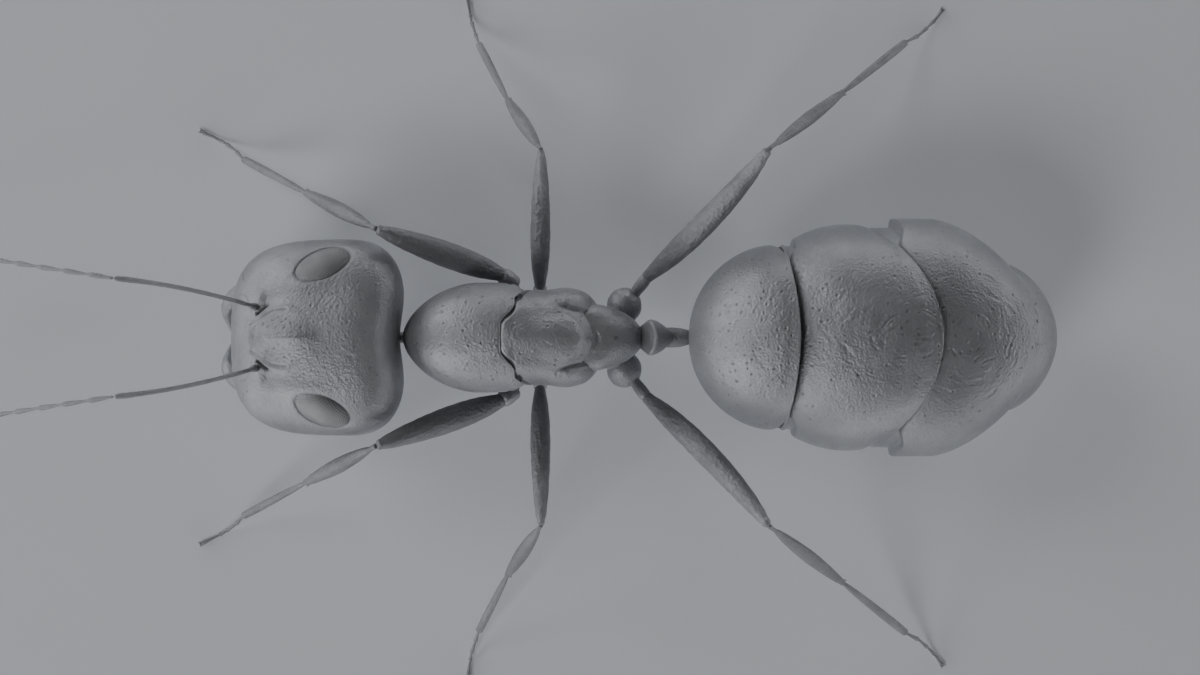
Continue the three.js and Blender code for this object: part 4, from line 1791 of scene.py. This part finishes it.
LEGS = (
    Leg(
        name="front", hip=(0.8, -4.2, 3.95), coxa=Step(1.72, -54.5, 3.4, 0.5),
        trochanter=Step(0.6, 57.0, 3.7, 0.3), femur=Step(4.21, 70.6, 6.4, 0.435),
        tibia=Step(3.26, 62.8, 3.1, 0.26), heel=Step(2.98, 62.2, 0.8, 0.145),
        toes=(
            Step(0.46, 45.0, 0.45, 0.072), Step(0.51, 55.0, 0.2, 0.072), Step(0.3, 61.0, 0.1, 0.07),
            Step(0.74, 64.0, 0.085, 0.08),
        ),
    ),
    Leg(
        name="mid", hip=(0.7, -1.9, 3.8), coxa=Step(0.62, 14.0, 3.4, 0.48),
        trochanter=Step(0.35, 0.0, 3.7, 0.24), femur=Step(4.34, -2.2, 7.4, 0.33),
        tibia=Step(2.58, 30.7, 3.2, 0.23), heel=Step(2.6, 26.2, 0.85, 0.14),
        toes=(
            Step(0.46, 19.3, 0.48, 0.072), Step(0.5, 18.2, 0.22, 0.072), Step(0.28, 12.0, 0.1, 0.07),
            Step(0.62, 8.0, 0.08, 0.078),
        ),
    ),
    Leg(
        name="hind", hip=(0.8, 0.5, 4.05), coxa=Step(0.7, -46.0, 4.1, 0.5),
        trochanter=Step(0.88, -37.0, 4.4, 0.21), femur=Step(5.45, -43.8, 8.2, 0.39),
        tibia=Step(3.99, -50.5, 3.3, 0.225), heel=Step(3.35, -50.5, 0.9, 0.15),
        toes=(
            Step(0.6, -60.0, 0.5, 0.078), Step(0.5, -48.0, 0.24, 0.075), Step(0.42, -45.0, 0.1, 0.072),
            Step(0.45, -36.0, 0.085, 0.08),
        ),
        bow=0.22, round_coxa=((1.08, 0.82, 4.05), (0.62, 0.59, 0.64)),
    ),
)


# ------------------------------------------------------------------ the studio


@dataclass(frozen=True)
class Lamp:
    """A square soft light, given by its direction from the ant.

    azimuth is in degrees from +X towards +Y, elevation in degrees, power in watts and size
    in metres.
    """

    name: str
    azimuth: float
    elevation: float
    power: float
    size: float
    away: float = 0.5

    def build(self, target: Floats) -> None:
        """Hangs the light, facing the target.

        Args:
            target: What it faces, in metres.
        """
        turn, rise = np.radians(self.azimuth), np.radians(self.elevation)
        direction = np.array([np.cos(rise) * np.cos(turn), np.cos(rise) * np.sin(turn), np.sin(rise)])
        light = bpy.data.lights.new(self.name, "AREA")
        light.energy = self.power
        light.size = self.size
        lamp = bpy.data.objects.new(self.name, light)
        lamp.location = tuple(target + self.away * direction)
        lamp.rotation_euler = Vector(direction).to_track_quat("Z", "Y").to_euler()
        bpy.context.collection.objects.link(lamp)


@dataclass
class Studio:
    """A plain pale floor, a ring of soft lights, a bright low horizon and the camera above.

    The room's light falls from horizon at eye level to 0 at band, the sine of an elevation,
    and to rear times that behind the ant. camera_height is in millimetres.
    """

    camera_height: float = 60.6
    lens: float = 50.0
    film: float = 36.0
    lamps: tuple[Lamp, ...] = (
        Lamp("key_light", 318.0, 45.0, 0.54, 0.18),
        Lamp("front_light", 240.0, 42.0, 0.3, 0.18),
        Lamp("low_left_light", 302.0, 16.0, 0.32, 0.12),
        Lamp("low_right_light", 242.0, 14.0, 0.28, 0.16),
        Lamp("rear_light", 90.0, 14.0, 0.1, 0.3),
        Lamp("top_light", 80.0, 74.0, 0.12, 0.4),
    )
    horizon: float = 5.4
    band: float = 0.26
    rear: float = 0.9
    floor_colour: Point = (0.76, 0.785, 0.835)
    floor_roughness: float = 0.9
    floor_reach: float = 2.0

    def floor(self) -> None:
        """Lays the floor: one square at the height of the ant's feet."""
        mesh = bpy.data.meshes.new("floor")
        reach = self.floor_reach
        corners = [(x * reach, y * reach, 0.0) for x, y in ((-1, -1), (1, -1), (1, 1), (-1, 1))]
        mesh.from_pydata(corners, [], [(0, 1, 2, 3)])
        material = bpy.data.materials.new("pale_floor")
        material.use_nodes = True
        shader = material.node_tree.nodes["Principled BSDF"]
        shader.inputs["Base Color"].default_value = (*self.floor_colour, 1.0)
        shader.inputs["Roughness"].default_value = self.floor_roughness
        mesh.materials.append(material)
        floor = bpy.data.objects.new("floor", mesh)
        bpy.context.collection.objects.link(floor)

    def room(self) -> None:
        """Lights the room: white, bright at the horizon and dark overhead."""
        world = bpy.data.worlds.new("room")
        world.use_nodes = True
        graph = Graph(world.node_tree)
        axes = graph.add("SeparateXYZ", {"Vector": graph.add("TexCoord", output="Generated")}).node.outputs
        rise = graph.ramp(axes["Z"], (0.0, self.band), (self.horizon, 0.0))
        back = graph.ramp(axes["Y"], (0.2, 1.0), (1.0, self.rear))
        background = world.node_tree.nodes["Background"]
        glow = graph.add("Math", {0: rise, 1: back}, operation="MULTIPLY")
        graph.feed(background.inputs["Strength"], glow)
        graph.feed(background.inputs["Color"], (1.0, 1.0, 1.0, 1.0))
        bpy.context.scene.world = world

    def camera(self, placing: Placing) -> None:
        """Hangs the camera over the ant, looking straight down, with its head to the left.

        Args:
            placing: Where the ant lies in the row frame.
        """
        data = bpy.data.cameras.new("camera")
        data.lens = self.lens
        data.sensor_width = self.film
        data.clip_start = 0.001
        data.clip_end = 10.0
        camera = bpy.data.objects.new("camera", data)
        camera.location = tuple(placing.metres(np.array([0.0, 0.0, self.camera_height])))
        camera.rotation_euler = (0.0, 0.0, np.pi / 2)
        bpy.context.collection.objects.link(camera)
        bpy.context.scene.camera = camera

    def build(self, placing: Placing) -> None:
        """Makes the floor, the lights, the room's light and the camera."""
        self.floor()
        for lamp in self.lamps:
            lamp.build(placing.metres(np.array([0.0, 0.0, 4.0])))
        self.room()
        self.camera(placing)


def main() -> None:
    """Builds the studio and the ant, piece by piece, and notes the sizes."""
    logging.basicConfig(level=logging.INFO, format="%(message)s")
    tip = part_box("gaster_4")[1].y / MM
    placing = Placing(tip - ABDOMEN_TIP)
    Studio().build(placing)
    Head().build(placing)
    for side in Side:
        Eye().build(placing, side)
        Mandible().build(placing, side)
        Antenna().build(placing, side)
    Pronotum().build(placing)
    Mesothorax().build(placing)
    Propodeum().build(placing)
    Petiole().build(placing)
    Abdomen().build(placing)
    for leg in LEGS:
        for side in Side:
            leg.build(placing, side)


if __name__ == "__main__":
    main()
